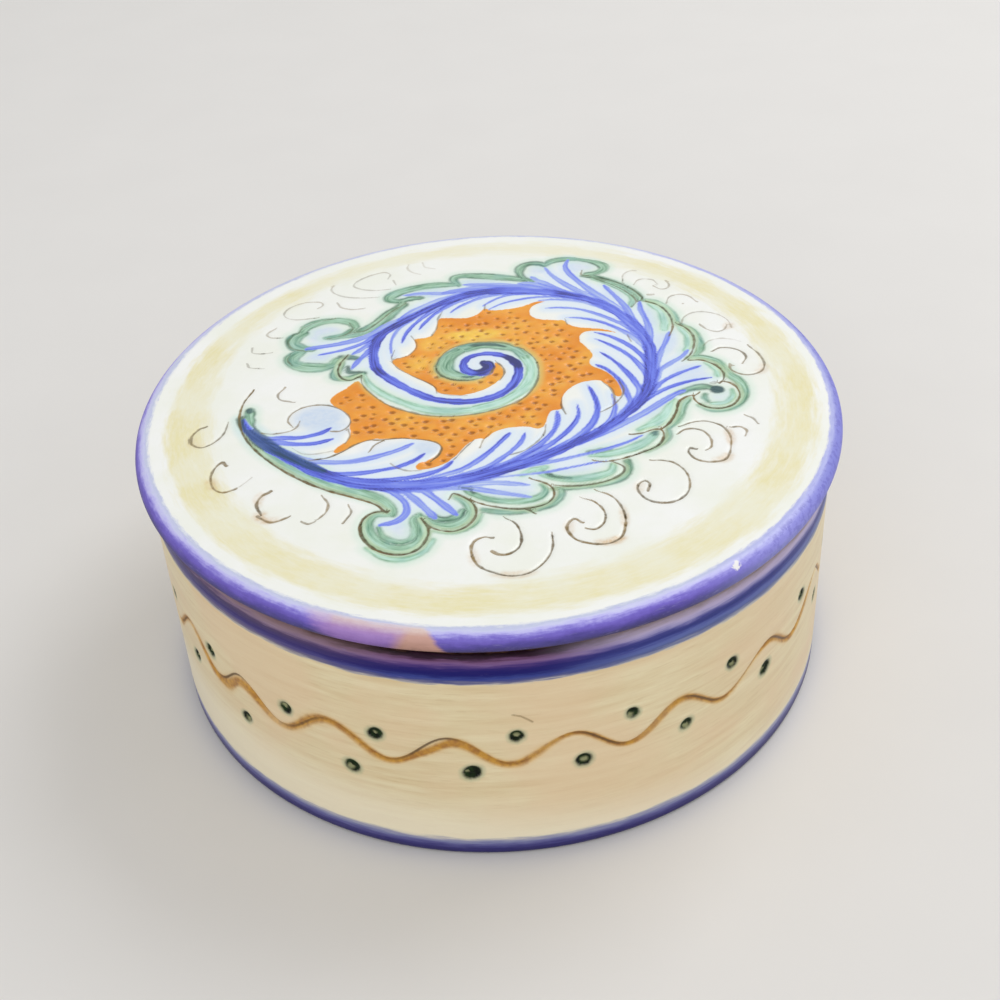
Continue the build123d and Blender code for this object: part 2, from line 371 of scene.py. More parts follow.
# green and sea-green brushwork; strength here is the tone, 0 pale sea green to 1 dark bottle green
greenStrokes = [
    (0.7, 1.1, 0.8, 0.44, [(-4.5, 38.1), (-8, 38.3), (-11.5, 37.8), (-14.5, 36.7), (-16.5, 35),
        (-16.3, 33.7), (-14.5, 33.1)]),
    (0.75, 0.8, 0.4, 0.55, [(-14.6, 33.2), (-12.6, 34), (-10.7, 34)]),
    (0.55, 0.95, 0.8, 0.5, [(-4, 37.8), (-4.8, 39.4), (-4.6, 40.7), (-3, 41.1), (0, 40.7), (4, 39.7),
        (7.5, 38.6), (9.3, 37.8)]),
    (0.6, 0.85, 0.6, 0.62, [(8.6, 37.8), (7.6, 39.5), (7.3, 41.5), (7.9, 43.3), (9.4, 44.2), (11.2, 44),
        (12.1, 43.2)]),
    (0.6, 0.95, 0.7, 0.52, [(12.2, 43.4), (13.5, 44.6), (16, 45.2), (18.5, 45), (21, 43.9), (22.7, 42.1),
        (22.8, 40.5), (21.5, 39.4), (19.6, 39)]),
    (0.5, 0.8, 0.6, 0.5, [(18.9, 38.6), (21.3, 37.6), (24.2, 35.6), (26.7, 32.9), (28.2, 30),
        (28.3, 28.8)]),
    (0.35, 0.6, 0.4, 0.26, [(20.5, 37.2), (23.3, 35.2), (25.6, 32.6), (27, 29.5), (26.4, 27)]),
    (0.5, 0.75, 0.5, 0.28, [(28.8, 28.7), (31.2, 27.3), (33, 24.5), (33.7, 21.5), (33.9, 19.6)]),
    (0.5, 1.1, 0.7, 0.08, [(30, 27.2), (31.8, 24.5), (32.1, 21.5), (31.5, 18.5)]),
    (0.5, 0.8, 0.6, 0.34, [(34.3, 19.8), (36.1, 17.3), (36.9, 14), (36.7, 11.5), (35.8, 9.8)]),
    (0.5, 0.75, 0.5, 0.1, [(34.2, 18.8), (35.1, 16), (35, 13), (34.2, 11.2)]),
    (0.6, 0.9, 0.6, 0.4, [(34.4, 9), (36.8, 8.7), (39, 7.2), (40, 4.8), (40.4, 3), (41.5, 1.3),
        (42.1, -1), (41.8, -3.5), (40.4, -5.7), (38.2, -6.8), (36, -6.7), (34.4, -5.3)]),
    (0.5, 0.7, 0.5, 0.1, [(37.2, 7), (38.5, 5), (38.5, 3)]),
    (0.6, 0.8, 0.7, 0.6, [(31.5, -1.6), (33.6, -0.5), (35.8, -0.2), (37.3, -0.8)]),
    (0.9, 0.95, 0.9, 0.98, [(37.6, -1.1), (37.9, -1.3)]),
    (0.4, 0.5, 0.3, 0.5, [(35.6, -2.4), (35.4, -3.5), (35.9, -4.6)]),
    (0.4, 0.6, 0.4, 0.12, [(36.4, -5.2), (38.5, -5.2), (40, -3.6), (40.2, -1.5)]),
    (0.6, 0.8, 0.6, 0.38, [(32.9, -3.2), (31.7, -5), (31, -7.3), (29.8, -9.6), (28.6, -11)]),
    (0.6, 1.25, 0.6, 0.1, [(30.6, -3.6), (29.4, -6.5), (27.5, -9), (24, -11.2)]),
    (0.45, 0.6, 0.5, 0.52, [(28.4, -11), (28.3, -13.2), (27, -15.3), (24.5, -17)]),
    (0.55, 0.95, 0.7, 0.14, [(15.8, -17.2), (19, -17.1), (22.5, -16), (25, -14.2), (26.2, -12.5)]),
    (0.55, 0.7, 0.5, 0.82, [(26.1, -12.7), (26.5, -12)]),
    (0.4, 0.5, 0.4, 0.72, [(15.4, -16.5), (17, -16.2), (18.8, -15.9)]),
    (0.5, 0.75, 0.6, 0.5, [(9.3, -25.2), (12.5, -25.2), (16.5, -24.8), (19.8, -23.5), (21.3, -21.3),
        (21.2, -19.3)]),
    (0.5, 0.85, 0.6, 0.18, [(7, -20), (8.8, -21.9), (11.8, -23.1), (15.5, -23), (18.3, -21.9), (19, -20)]),
    (0.35, 0.42, 0.3, 0.8, [(8.2, -20.8), (9.8, -22.3), (12.2, -23)]),
    (0.4, 0.6, 0.5, 0.14, [(4.8, -21.3), (6.5, -20.2), (8.5, -19.7)]),
    (0.55, 0.85, 0.6, 0.55, [(-1.6, -29.4), (1.5, -30.1), (5, -30.1), (8.3, -29.1), (10.2, -27.4),
        (10.6, -25.4)]),
    (0.5, 0.72, 0.5, 0.34, [(-4, -23.8), (-2.8, -25.4), (0, -27.1), (4, -27.9), (7, -27.2), (8.2, -25.6),
        (7.8, -24)]),
    (0.45, 0.5, 0.3, 0.85, [(-4.4, -23.6), (-3.4, -24), (-2.7, -25.2)]),
    (0.6, 0.9, 0.6, 0.42, [(-10.4, -30.4), (-8.5, -32.2), (-6, -32.7), (-3.9, -31.4), (-3.2, -29.3),
        (-3.9, -27.2), (-5.5, -25.6)]),
    (0.5, 0.8, 0.6, 0.56, [(-9.3, -30), (-7.6, -31.2), (-5.4, -30.8), (-4.4, -29.3)]),
    (0.3, 0.5, 0.4, 0.3, [(-9, -33.7), (-6, -34.3), (-3, -33), (-1.8, -30.5)]),
    (0.8, 1.1, 0.8, 0.4, [(-15.4, -28.9), (-17.5, -29), (-18.6, -30.6), (-18.6, -33), (-17.4, -35.4),
        (-15.3, -37.1), (-13, -37.5), (-11, -36.4), (-10.2, -34.3), (-10.4, -32.2), (-11, -30)]),
    (0.4, 0.6, 0.5, 0.4, [(-17, -32.2), (-16.2, -34.4), (-14, -35.9), (-12, -35.2), (-11.5, -33),
        (-11.9, -30.8), (-11, -29.7)]),
    (0.4, 0.75, 0.4, 0.18, [(-18.6, -36.8), (-16, -39.1), (-13, -39.7), (-10.3, -38.3), (-8.9, -35.8)]),
    (0.5, 1.05, 0.7, 0.42, [(-39.2, -5), (-37, -9.6), (-33.5, -13.7), (-29, -17.8), (-24.5, -21),
        (-20, -23.4), (-16.8, -25.5), (-15.2, -27.7), (-14.9, -29.2)]),
    (0.9, 1.35, 0.5, 0.88, [(-40, -1.6), (-38.2, -5.6), (-35.6, -9.2), (-31.4, -13.1), (-26, -17.2)]),
    (0.85, 0.85, 0.5, 0.5, [(-39, 0.8), (-38.8, -1.5), (-38.4, -4.2)]),
    (0.6, 0.7, 0.5, 0.85, [(-39.1, 0.9), (-38.9, 0.3)]),
    (0.9, 1, 0.8, 0.4, [(-32, 24), (-31, 26.2), (-28.7, 27.6), (-25.8, 27.8), (-23.4, 26.9),
        (-22.4, 25.2)]),
    (0.6, 0.75, 0.5, 0.42, [(-22.7, 24.6), (-24.2, 23), (-26, 22.2), (-27.6, 22.1)]),
    (0.8, 1.25, 1, 0.52, [(-22.3, 23.6), (-20.2, 24.3), (-18.1, 26.6), (-16.2, 29.3), (-14.2, 31.9)]),
    (0.4, 0.6, 0.4, 0.42, [(-27, 21.9), (-24, 22.2), (-21.5, 22.8), (-19.5, 24.3), (-17.6, 26.6)]),
    (1.1, 1.35, 0.8, 0.5, [(-31.7, 24), (-33.1, 22.6), (-33.2, 20.6), (-32, 19.3), (-29.8, 18.7)]),
    (1.1, 1.35, 0.9, 0.48, [(-31.7, 18), (-33.1, 16.3), (-32.8, 14.5), (-31, 13.1), (-28, 12.6),
        (-26, 13.2), (-25.3, 14.5)]),
    (0.6, 0.9, 0.6, 0.48, [(-24.6, 15.6), (-24.6, 13.5), (-25.1, 11.5), (-25.3, 9.4), (-23.5, 8.7),
        (-21.8, 9.2), (-20.6, 10)]),
    (0.6, 0.7, 0.5, 0.8, [(-24.6, 15.6), (-23, 15.3), (-21.9, 14.9)]),
    (0.35, 0.48, 0.4, 0.78, [(-23.4, 12.4), (-23, 10.7), (-21.6, 10.3), (-20.4, 10.2)]),
    # the long band outside the blue of the curl, pale at first and fuller over the top
    (0.35, 0.85, 0.95, 0.1, [(-20.6, 9.7), (-19.4, 6.4), (-17, 3.3), (-14, 0.7), (-10, -1.9), (-6, -2.9),
        (-2, -2.8)]),
    (0.95, 1.15, 1.1, 0.1, [(-2, -2.8), (2, -1.3), (5, 1), (7.1, 4), (7.9, 7.3), (7.8, 10.2), (6.9, 12.6)]),
    (1.05, 1.2, 1.3, 0.42, [(6.9, 12.6), (5.2, 15), (2.4, 16.4), (-0.8, 16.8), (-3.6, 16)]),
    (1.25, 1.5, 0.7, 0.5, [(-3.6, 16), (-5.8, 14), (-6.8, 11.4), (-6.6, 9.2), (-5, 7.6), (-3, 7),
        (-1.4, 7.2)]),
    (0.3, 0.7, 0.3, 0.84, [(-2.4, 16.8), (1, 16.9), (3.6, 15.8)]),
    (0.3, 0.45, 0.3, 0.85, [(-4, 7.1), (-2.8, 6.9), (-1.8, 7.1)])]

# scratched lines; strength is how dark and deep the line is
scratches = [
    (0.16, 0.22, 0.2, 0.9, [(-39, 6.7), (-40.2, 3.5), (-40.6, 0), (-40.2, -3.5), (-38.8, -7.5),
        (-36.3, -11.6), (-33, -15.6), (-29.2, -19.2), (-25, -22.2), (-20.5, -24.6), (-17.6, -26.4),
        (-16, -28.4)]),
    (0.2, 0.25, 0.18, 0.9, [(-15.8, -28.2), (-18, -28.4), (-19.5, -30.2), (-19.6, -33), (-18.3, -36),
        (-16, -38), (-13.3, -38.6), (-11, -37.5), (-9.7, -34.8), (-9.7, -32.6), (-10.5, -30.8)]),
    (0.16, 0.2, 0.18, 0.85, [(-10.4, -30.9), (-9.4, -32.5), (-7.6, -33.6), (-5.7, -33.9), (-3.8, -32.8),
        (-2.6, -30.8), (-2.5, -28.7), (-3.4, -26.7), (-5, -25.2), (-5.9, -24.8), (-6.4, -26)]),
    (0.18, 0.2, 0.16, 0.85, [(-3.1, -26.7), (-1, -28.1), (2.5, -29.3), (5.3, -29.5), (8, -28.7),
        (9.3, -27), (9.3, -25), (8.3, -23.6), (6.2, -22.3)]),
    (0.16, 0.2, 0.16, 0.85, [(5, -29.7), (5.7, -30.2), (6.2, -30.8)]),
    (0.16, 0.2, 0.18, 0.75, [(9.6, -24.2), (12, -24.7), (15.2, -24.6), (18.4, -23.6), (20.3, -22),
        (20.5, -20.5), (19.2, -19.3)]),
    (0.16, 0.22, 0.16, 0.9, [(16.2, -18.6), (18, -19), (21, -18.3), (24, -17), (26.3, -15.6),
        (27.5, -13.6), (27.5, -11.6), (26.2, -11.2), (24.3, -12), (22.6, -12.2)]),
    (0.2, 0.24, 0.18, 1, [(27.7, -11), (29.2, -9.2), (30.4, -6.5), (31.1, -4), (32.3, -2.7), (33.6, -2.2)]),
    (0.14, 0.22, 0.18, 0.9, [(34.6, -1.8), (33.7, -2.7), (34, -4.2), (35.3, -5.8), (37.5, -6.4),
        (39.7, -5.6), (41.1, -3.4), (41.1, -1), (40.2, 0.6), (39.3, 1.2)]),
    (0.14, 0.2, 0.18, 0.9, [(34.4, 8.2), (36.5, 8), (38.5, 6.3), (39.5, 4), (39.3, 2), (38.6, 0.9)]),
    (0.14, 0.16, 0.14, 0.35, [(37.1, 1), (37.5, 1.35), (37.9, 0.95), (37.6, 0.5), (37.2, 0.7)]),
    (0.16, 0.2, 0.16, 0.8, [(33.4, 8.2), (35, 10.3), (36, 13.6), (36, 16.5), (35.1, 18.7), (33.9, 20)]),
    (0.16, 0.22, 0.16, 0.8, [(29.3, 28.3), (31.3, 26.8), (32.7, 24), (33.1, 21), (32.9, 18.7),
        (32.1, 16.4)]),
    (0.16, 0.2, 0.14, 0.6, [(18.8, 40.3), (18.6, 39.2), (19.6, 38.6)]),
    (0.14, 0.18, 0.14, 0.55, [(20.5, 38.1), (24, 36.2), (27, 33.2), (28.8, 29.5), (28, 28.4)]),
    (0.14, 0.18, 0.14, 0.55, [(21, 37.3), (24.3, 34.4), (26.6, 31.3), (27.6, 28.6), (26.7, 26.7)]),
    (0.14, 0.2, 0.14, 0.6, [(-13.9, 32.4), (-16.3, 29.8), (-18.6, 26.4), (-20.7, 24), (-22.5, 23.6)]),
    (0.12, 0.16, 0.12, 0.55, [(-23.5, 26.5), (-22.9, 25), (-23.6, 23.4), (-25.5, 22.4), (-27, 22)]),
    (0.12, 0.16, 0.12, 0.4, [(-32.6, 24.2), (-31.8, 26), (-29.6, 27.7), (-26.5, 28.6)]),
    (0.12, 0.18, 0.12, 0.5, [(-33.6, 23.5), (-34.2, 21.5), (-33.2, 19.3), (-31, 18.3)]),
    (0.12, 0.18, 0.12, 0.5, [(-33.5, 17.5), (-33.9, 15.7), (-33, 14)]),
    (0.14, 0.2, 0.16, 0.85, [(-23.6, 16), (-24.6, 14), (-25, 11.5), (-24.3, 9.2), (-22.8, 8.3),
        (-21.2, 9.3)]),
    (0.12, 0.18, 0.14, 0.65, [(-20.9, 9), (-20.7, 7), (-19.3, 4.2), (-16.5, 0.5), (-13, -2), (-9, -3.7),
        (-4.5, -4.1), (0, -3.4), (4, -1.6), (6.6, 0.6), (8.4, 4.2), (9, 8), (8.6, 11.4), (7, 14.6)]),
    (0.12, 0.16, 0.12, 0.55, [(6.4, 15.1), (3.5, 17), (-0.5, 17.9), (-4.5, 17.2), (-7.2, 14.6),
        (-8.3, 11.2)]),
    (0.12, 0.16, 0.12, 0.7, [(-0.5, 6.7), (-3, 6.2), (-6, 6.9), (-8, 9.2), (-8.3, 11.2)]),
    (0.12, 0.16, 0.12, 0.7, [(-0.3, 6.9), (0.8, 7.8), (1.4, 9.2)]),
    (0.12, 0.18, 0.14, 0.8, [(2, 11.3), (3, 9.6), (3.2, 7.6), (2.5, 5.8)]),
    (0.14, 0.18, 0.14, 0.65, [(-30.6, -3.4), (-31, -4.8), (-32.3, -5.8), (-34.5, -6.2), (-36.2, -5.9)]),
    (0.14, 0.18, 0.14, 0.75, [(-31.6, -4.5), (-32.5, -2.8), (-32, -0.8), (-30.4, 0.8), (-28, 1.4),
        (-25.5, 0.8), (-23.5, -0.9), (-22.3, -3.2), (-22.6, -5.3), (-23.8, -6.5), (-25, -6.5)]),
    (0.12, 0.16, 0.12, 0.6, [(-22.5, -6.3), (-22.2, -8), (-22.8, -9.8)]),
    (0.12, 0.14, 0.12, 0.35, [(-31, -10.8), (-29.5, -12.2), (-27.5, -12.5), (-25, -12)]),
    (0.14, 0.2, 0.14, 0.85, [(-28, -14), (-25.5, -13.6), (-23.5, -12.4), (-21, -10.3), (-19, -9.4),
        (-17.5, -9.6), (-14, -9.4), (-11, -10), (-8.6, -11), (-7.5, -12.5), (-8, -14.5), (-9, -15.8)]),
    (0.14, 0.18, 0.14, 0.8, [(-16.8, -9.9), (-18.2, -11), (-18.9, -12.6)]),
    (0.12, 0.16, 0.12, 0.5, [(-15.3, -16.5), (-14.5, -17.4), (-13, -18.3), (-11, -18.5)]),
    (0.12, 0.16, 0.12, 0.65, [(-2.6, -11.5), (-4, -13.5), (-5.5, -16)]),
    (0.12, 0.16, 0.12, 0.7, [(0.3, -9.4), (-0.8, -11.2), (-1.4, -13.2)]),
    (0.12, 0.16, 0.12, 0.55, [(9.2, -8.5), (8.8, -10.7), (7.5, -12.8), (5.5, -14.8), (3.5, -15.7)]),
    (0.12, 0.18, 0.14, 0.7, [(12.3, -1), (12.1, -3), (12.6, -5.3)]),
    (0.12, 0.18, 0.12, 0.7, [(18.5, -5.4), (20.3, -4), (22, -1.6), (22.6, 0.7), (22.2, 3)]),
    (0.14, 0.22, 0.14, 0.6, [(19.5, 3), (20.6, 1), (20.9, -1.5), (20.6, -3.5)]),
    (0.12, 0.16, 0.12, 0.55, [(-7.2, 28.5), (-7.9, 26.3), (-8.1, 23.5), (-9, 21)]),
    (0.12, 0.16, 0.12, 0.55, [(-12.5, 20.9), (-11.7, 19), (-11.8, 17), (-13.2, 15), (-15.5, 14)]),
    (0.12, 0.16, 0.12, 0.6, [(-15.5, 16.5), (-15.9, 14.6), (-15.7, 13)]),
    (0.12, 0.16, 0.12, 0.7, [(0.6, 30), (0.5, 28.9)]),
    (0.12, 0.16, 0.12, 0.6, [(14.6, 23.5), (14.8, 22.3)]),
    (0.12, 0.16, 0.12, 0.65, [(-8.2, 3), (-8.4, 4.5), (-9.5, 6), (-12, 8.2), (-14.5, 10.8), (-15.8, 13)]),
    (0.1, 0.12, 0.1, 0.45, [(-8, 2.9), (-5.8, 1.9), (-3.5, 1.5)]),
    (0.1, 0.14, 0.1, 0.5, [(25, 17), (25.3, 15.3)]),
    # curls scattered outside the leaf
    (0.12, 0.2, 0.12, 0.36, [(-17, 42), (-16.7, 43.4), (-17.9, 44.3), (-20, 43.6), (-22.2, 42.1),
        (-23.4, 40.3), (-22.5, 38.9), (-20, 37.9), (-16.8, 37.9)]),
    (0.16, 0.2, 0.12, 0.36, [(-26, 41.8), (-27.4, 39.6), (-27, 37.9), (-25, 36.2), (-22, 35.4),
        (-18.8, 35.3)]),
    (0.18, 0.18, 0.14, 0.4, [(-29.4, 32.7), (-28.7, 33.6), (-29.3, 34.7), (-31.8, 34.9), (-34.4, 33.6),
        (-35.6, 31.5), (-35, 29.9), (-33, 29), (-29.5, 29.3)]),
    (0.18, 0.18, 0.12, 0.42, [(-26, 33.8), (-25.3, 32.4), (-23.5, 31.5), (-21.3, 31.6)]),
    (0.16, 0.18, 0.12, 0.42, [(-36.8, 26.3), (-38.1, 24.8), (-37.5, 23.5), (-35.5, 23.1)]),
    (0.16, 0.18, 0.12, 0.4, [(-40.3, 20), (-40.2, 18.8), (-38.8, 18.3), (-37, 18.4)]),
    (0.2, 0.18, 0.12, 0.4, [(-40.7, 15), (-40.2, 14), (-38, 13.5)]),
    (0.18, 0.16, 0.12, 0.34, [(-16, 40.8), (-15.6, 39.6)]),
    (0.16, 0.2, 0.14, 0.6, [(-33.8, 6.9), (-34.7, 5.2), (-34.2, 3.6), (-32, 2.6)]),
    (0.22, 0.2, 0.14, 0.72, [(-46, -3.2), (-46.8, -3.6), (-47.8, -5.5), (-47.6, -7.7), (-45.9, -8.8),
        (-44, -7.6), (-42.7, -5.3), (-42.3, -2.5)]),
    (0.26, 0.2, 0.2, 0.8, [(-41.5, -14), (-42.1, -13.2), (-43.1, -14.6), (-43.5, -17), (-42.9, -19.7),
        (-41.3, -21.1), (-39.5, -20.5)]),
    (0.1, 0.12, 0.1, 0.3, [(-38.6, -19.8), (-37.2, -18)]),
    (0.28, 0.22, 0.24, 0.8, [(-34, -21.8), (-35.2, -22.8), (-35.7, -24.8), (-34.8, -27.3)]),
    (0.24, 0.22, 0.14, 0.75, [(-35, -27.9), (-33.5, -29.2), (-32, -29), (-30.6, -28.2)]),
    (0.14, 0.2, 0.14, 0.7, [(-25.7, -23.7), (-24.8, -25.5), (-25, -27.5), (-26, -29)]),
    (0.22, 0.2, 0.12, 0.7, [(-28.2, -29.8), (-27.5, -30.2), (-26.8, -29.9)]),
    (0.14, 0.2, 0.18, 0.72, [(-21.6, -26.4), (-21.2, -28), (-22.2, -30.3)]),
    (0.22, 0.2, 0.14, 0.85, [(-0.4, -36), (-1.5, -35.7), (-3, -36.7), (-3.4, -39), (-2.5, -42), (0, -44),
        (2.5, -44.8), (5, -44.2), (7.3, -41.8), (8.4, -39), (8.5, -36)]),
    (0.14, 0.2, 0.26, 0.85, [(1.8, -31.5), (3.3, -33), (4, -35.6), (3.7, -38.2), (2.3, -39.8), (0.8, -40),
        (-0.1, -39.4)]),
    (0.2, 0.22, 0.14, 0.85, [(13, -33.6), (12, -32.7), (11, -33.8), (10.8, -35.3), (12, -37.6),
        (14.5, -38.8), (17, -38.7), (18.8, -37), (19.5, -33.5), (19.2, -30.5), (18, -27.8), (15.8, -26.2)]),
    (0.14, 0.18, 0.2, 0.85, [(13.5, -27.8), (15.4, -29), (16.6, -31.5), (16.3, -34), (15, -35.4),
        (13.8, -35.2)]),
    (0.2, 0.2, 0.14, 0.8, [(23.6, -26.8), (24, -25.3), (23.3, -24.5), (22.3, -25.3), (22.1, -27),
        (23.3, -29.2), (25.5, -30.2), (27.8, -29.7), (29.5, -27.8), (30.1, -25), (29.6, -22.3),
        (28.2, -20.3), (26.3, -19.5), (25, -19.4)]),
    (0.2, 0.2, 0.14, 0.8, [(31.9, -17.1), (31.2, -16.8), (30.9, -18), (31.8, -19.8), (33.8, -20.7),
        (36, -20.4), (37, -19), (37.7, -16.5), (37.9, -14), (37, -11.4), (35, -9.9), (32.8, -9.8),
        (30.5, -10.8)]),
    (0.16, 0.2, 0.16, 0.75, [(29.9, -12.8), (31, -11.8), (32.6, -11.7), (34, -12.6), (34.8, -14.7),
        (34.6, -16.7), (33.8, -17.5)]),
    (0.16, 0.2, 0.16, 0.6, [(41.3, -9), (42.2, -9.8), (42.7, -11.2)]),
    (0.16, 0.2, 0.16, 0.65, [(38.6, -11.9), (39.8, -11.9), (40.7, -13), (40.3, -14.3)]),
    (0.18, 0.2, 0.14, 0.7, [(41.3, 5.9), (40.9, 6.2), (41, 4.5), (42.5, 3), (44.3, 2.8), (46, 3.8),
        (46.7, 6), (46.2, 9), (45, 11.5)]),
    (0.16, 0.2, 0.16, 0.75, [(38.7, 10.6), (40, 11.5), (41.7, 11.3), (43.3, 10.2), (44, 8.3), (43.2, 6.4)]),
    (0.12, 0.14, 0.1, 0.35, [(37.5, 12.5), (38.5, 13.8), (40.5, 14.4), (42.5, 13.9), (43.6, 13.2)]),
    (0.18, 0.18, 0.14, 0.55, [(37.9, 19), (38.8, 17.6), (40.3, 16.7), (41.7, 17.3), (42.3, 18.5)]),
    (0.14, 0.18, 0.14, 0.45, [(34.6, 20), (35.3, 22), (37, 23.4), (39, 23.5), (41.3, 22.3), (42.7, 20.3),
        (43, 18)]),
    (0.14, 0.2, 0.18, 0.5, [(32.9, 27.3), (33.6, 29.2), (35.3, 30), (37, 29.3), (38.2, 27.2)]),
    (0.14, 0.16, 0.1, 0.34, [(25.9, 35.5), (26.2, 38), (27.6, 39.4), (29.5, 39)]),
    (0.14, 0.16, 0.12, 0.42, [(27.9, 34.5), (28.6, 35.8), (29.8, 36.2), (31.4, 35.6), (32, 34.2)]),
    (0.18, 0.18, 0.14, 0.46, [(31.5, 33.2), (32.5, 32.2), (33.7, 32.5), (34.1, 33.8), (33.4, 35.8)]),
    (0.28, 0.28, 0.28, 0.4, [(30.3, 30.4), (30.5, 30.4)]),
    (0.14, 0.18, 0.1, 0.27, [(-13.2, 47), (-13.5, 45.2), (-12.6, 43.7), (-11.2, 42.8)]),
    (0.14, 0.18, 0.1, 0.25, [(-10.6, 46.8), (-10.2, 45.4), (-8.6, 44.6)])]

# the orange ground between the lobes, one outline that also runs in along the curl
orangeOutline = [
    (0.4, 29.4), (1.4, 28.3), (3.2, 28.2), (5.5, 28.4), (7.6, 29), (9.6, 30.4), (12, 30.5), (9.6, 29.4),
    (8.6, 28.2), (8.4, 26.6), (8.8, 25), (10.5, 24), (13, 23.6), (14.6, 23.4), (14.7, 22.4), (15.6, 21.3),
    (17.5, 20.4), (20, 20), (22, 19.1), (23.5, 18), (21.5, 18.8), (19.5, 19.3), (17.6, 19.2), (16.6, 18),
    (16.5, 16.3), (17.3, 14.6), (18.2, 12.8), (18.5, 11.3), (17.8, 10), (17.6, 8.8), (18.3, 7.8),
    (19.7, 6.8), (21.3, 4.6), (22.2, 2), (22.4, -0.6), (21.6, -1.7), (20.9, -0.8), (20.7, 1), (19.7, 3),
    (18.8, 3.8), (17.3, 3.7), (15.5, 3.3), (14, 2), (12.6, 0.2), (12.2, -1.8), (12.3, -4.3), (10.4, -4.2),
    (9.8, -5.5), (9.3, -7.5), (8.8, -8.9), (7.8, -9.3), (6.6, -8.5), (4.5, -8.3), (2.6, -8.6),
    (0.8, -9.4), (-0.3, -11), (-1.5, -10.9), (-2.8, -11.4), (-4, -13), (-5.3, -15.2), (-6.6, -16.8),
    (-8.5, -18), (-11, -18.5), (-11.7, -17.6), (-11.2, -16.5), (-9.5, -15.8), (-8.2, -14.7), (-7.5, -13),
    (-7.7, -11.6), (-9, -10.7), (-11.5, -9.8), (-14, -9.4), (-16.5, -9.4), (-18.3, -9.2), (-20, -9.6),
    (-21.7, -10.7), (-23.2, -12.1), (-24.5, -12.7), (-24.6, -11.6), (-23, -10), (-22.2, -8.5),
    (-22.1, -6.8), (-22.4, -5), (-22.2, -3), (-23, -1.3), (-24.4, 0.2), (-25.7, 1.3), (-25.9, 2.8),
    (-25.2, 4), (-23.8, 5.3), (-22.7, 6.5), (-21.6, 8.1), (-20.8, 7), (-19.3, 4.1), (-16.5, 0.4),
    (-13, -2.1), (-9, -3.8), (-4.5, -4.2), (0, -3.5), (4, -1.7), (6.7, 0.6), (8.5, 4.2), (9.1, 8),
    (8.7, 11.4), (7.1, 14.6), (3.5, 17.1), (-0.5, 18), (-4.6, 17.3), (-7.3, 14.7), (-8.4, 11.2),
    (-8.1, 9.1), (-6.1, 6.8), (-3, 6.1), (-0.4, 6.6), (0.9, 7.7), (1.6, 9.4), (1.7, 11.6), (2.9, 9.8),
    (3.2, 7.8), (2.6, 6), (1.3, 4.3), (-0.5, 2.7), (-3.5, 1.6), (-6, 2), (-8.1, 2.9), (-8.4, 4.4),
    (-9.5, 6), (-12, 8.2), (-14.3, 10.6), (-15.8, 12.9), (-15.7, 14.1), (-13.8, 14.6), (-12.2, 16),
    (-11.6, 18), (-12.2, 20.4), (-11.4, 20.1), (-9.6, 20.3), (-8.4, 21.8), (-8, 24.5), (-7.8, 26.6),
    (-6.5, 26.6), (-4.5, 26.2), (-2.5, 26.1), (-0.9, 27), (0, 28.3)]

# pale blue left by a wet brush inside the lobes: x, y, half width, half height, strength
washBlobs = [
    (-27.3, -2.5, 5.2, 4.2, 0.95), (-24.5, -5.5, 3, 3, 0.6), (-10, 36.4, 5, 1.4, 0.9),
    (-1, 38.7, 5, 1.3, 0.8), (-9.6, -12.6, 2.6, 2.2, 0.8), (-17, -12, 4, 2.4, 0.35),
    (-13.3, -33.6, 2.4, 2.8, 0.6), (-6.5, -30, 2.6, 2.4, 0.5), (10.7, 42, 2.2, 2, 0.7),
    (19, 42.2, 3.4, 2.6, 0.7), (-28, 23.5, 4.2, 3.2, 0.8), (-28.8, 15.6, 3.2, 2.2, 0.7),
    (-9.5, 35, 3.2, 1.3, 0.9), (38.5, -3.4, 2.6, 2.6, 0.55), (34, 4.2, 3.6, 3.4, 0.6),
    (31.2, 14, 2.8, 4, 0.55), (30, 23, 2.4, 4.2, 0.6), (23.8, 31.5, 2.2, 3.2, 0.55),
    (28, -7, 3, 3.2, 0.5), (19, -16.5, 5, 1.6, 0.5), (13, -21.6, 4.5, 1.5, 0.5), (2, -25.8, 4.8, 1.8, 0.55)]

# yellower bloom in the orange ground, in the same order
bloomBlobs = [
    (-1.5, 20.4, 6.2, 2.2, 0.95), (-8.5, 17.8, 3.2, 2.2, 0.5), (-11.5, 12.5, 2.6, 2.6, 0.4),
    (-14, -4, 3, 2, 0.3)]

# rust that bled from some scratches into the white, in the same order
rustBlobs = [
    (-34.6, -28.2, 3, 1.9, 0.75), (-43.2, -19, 2, 1.8, 0.5), (-35.4, -23.6, 1.2, 2.2, 0.5),
    (-46.8, -7.6, 1.8, 1.8, 0.3), (17.2, -38.4, 3, 1.3, 0.95), (2.4, -44.7, 4.4, 1.2, 0.5),
    (-3, -40.5, 1.2, 2.4, 0.35), (8.7, -47, 1.2, 0.9, 0.6), (19.3, -33, 1, 3, 0.5),
    (36.2, -20, 2.2, 1.6, 0.65), (37.8, -14.5, 1.2, 2.6, 0.6), (46, 4.2, 1.8, 2.2, 0.45),
    (42.6, 18.2, 1.4, 1.6, 0.4), (11.2, -34.6, 1.2, 1.8, 0.45), (22.4, -26, 1.2, 1.6, 0.35)]

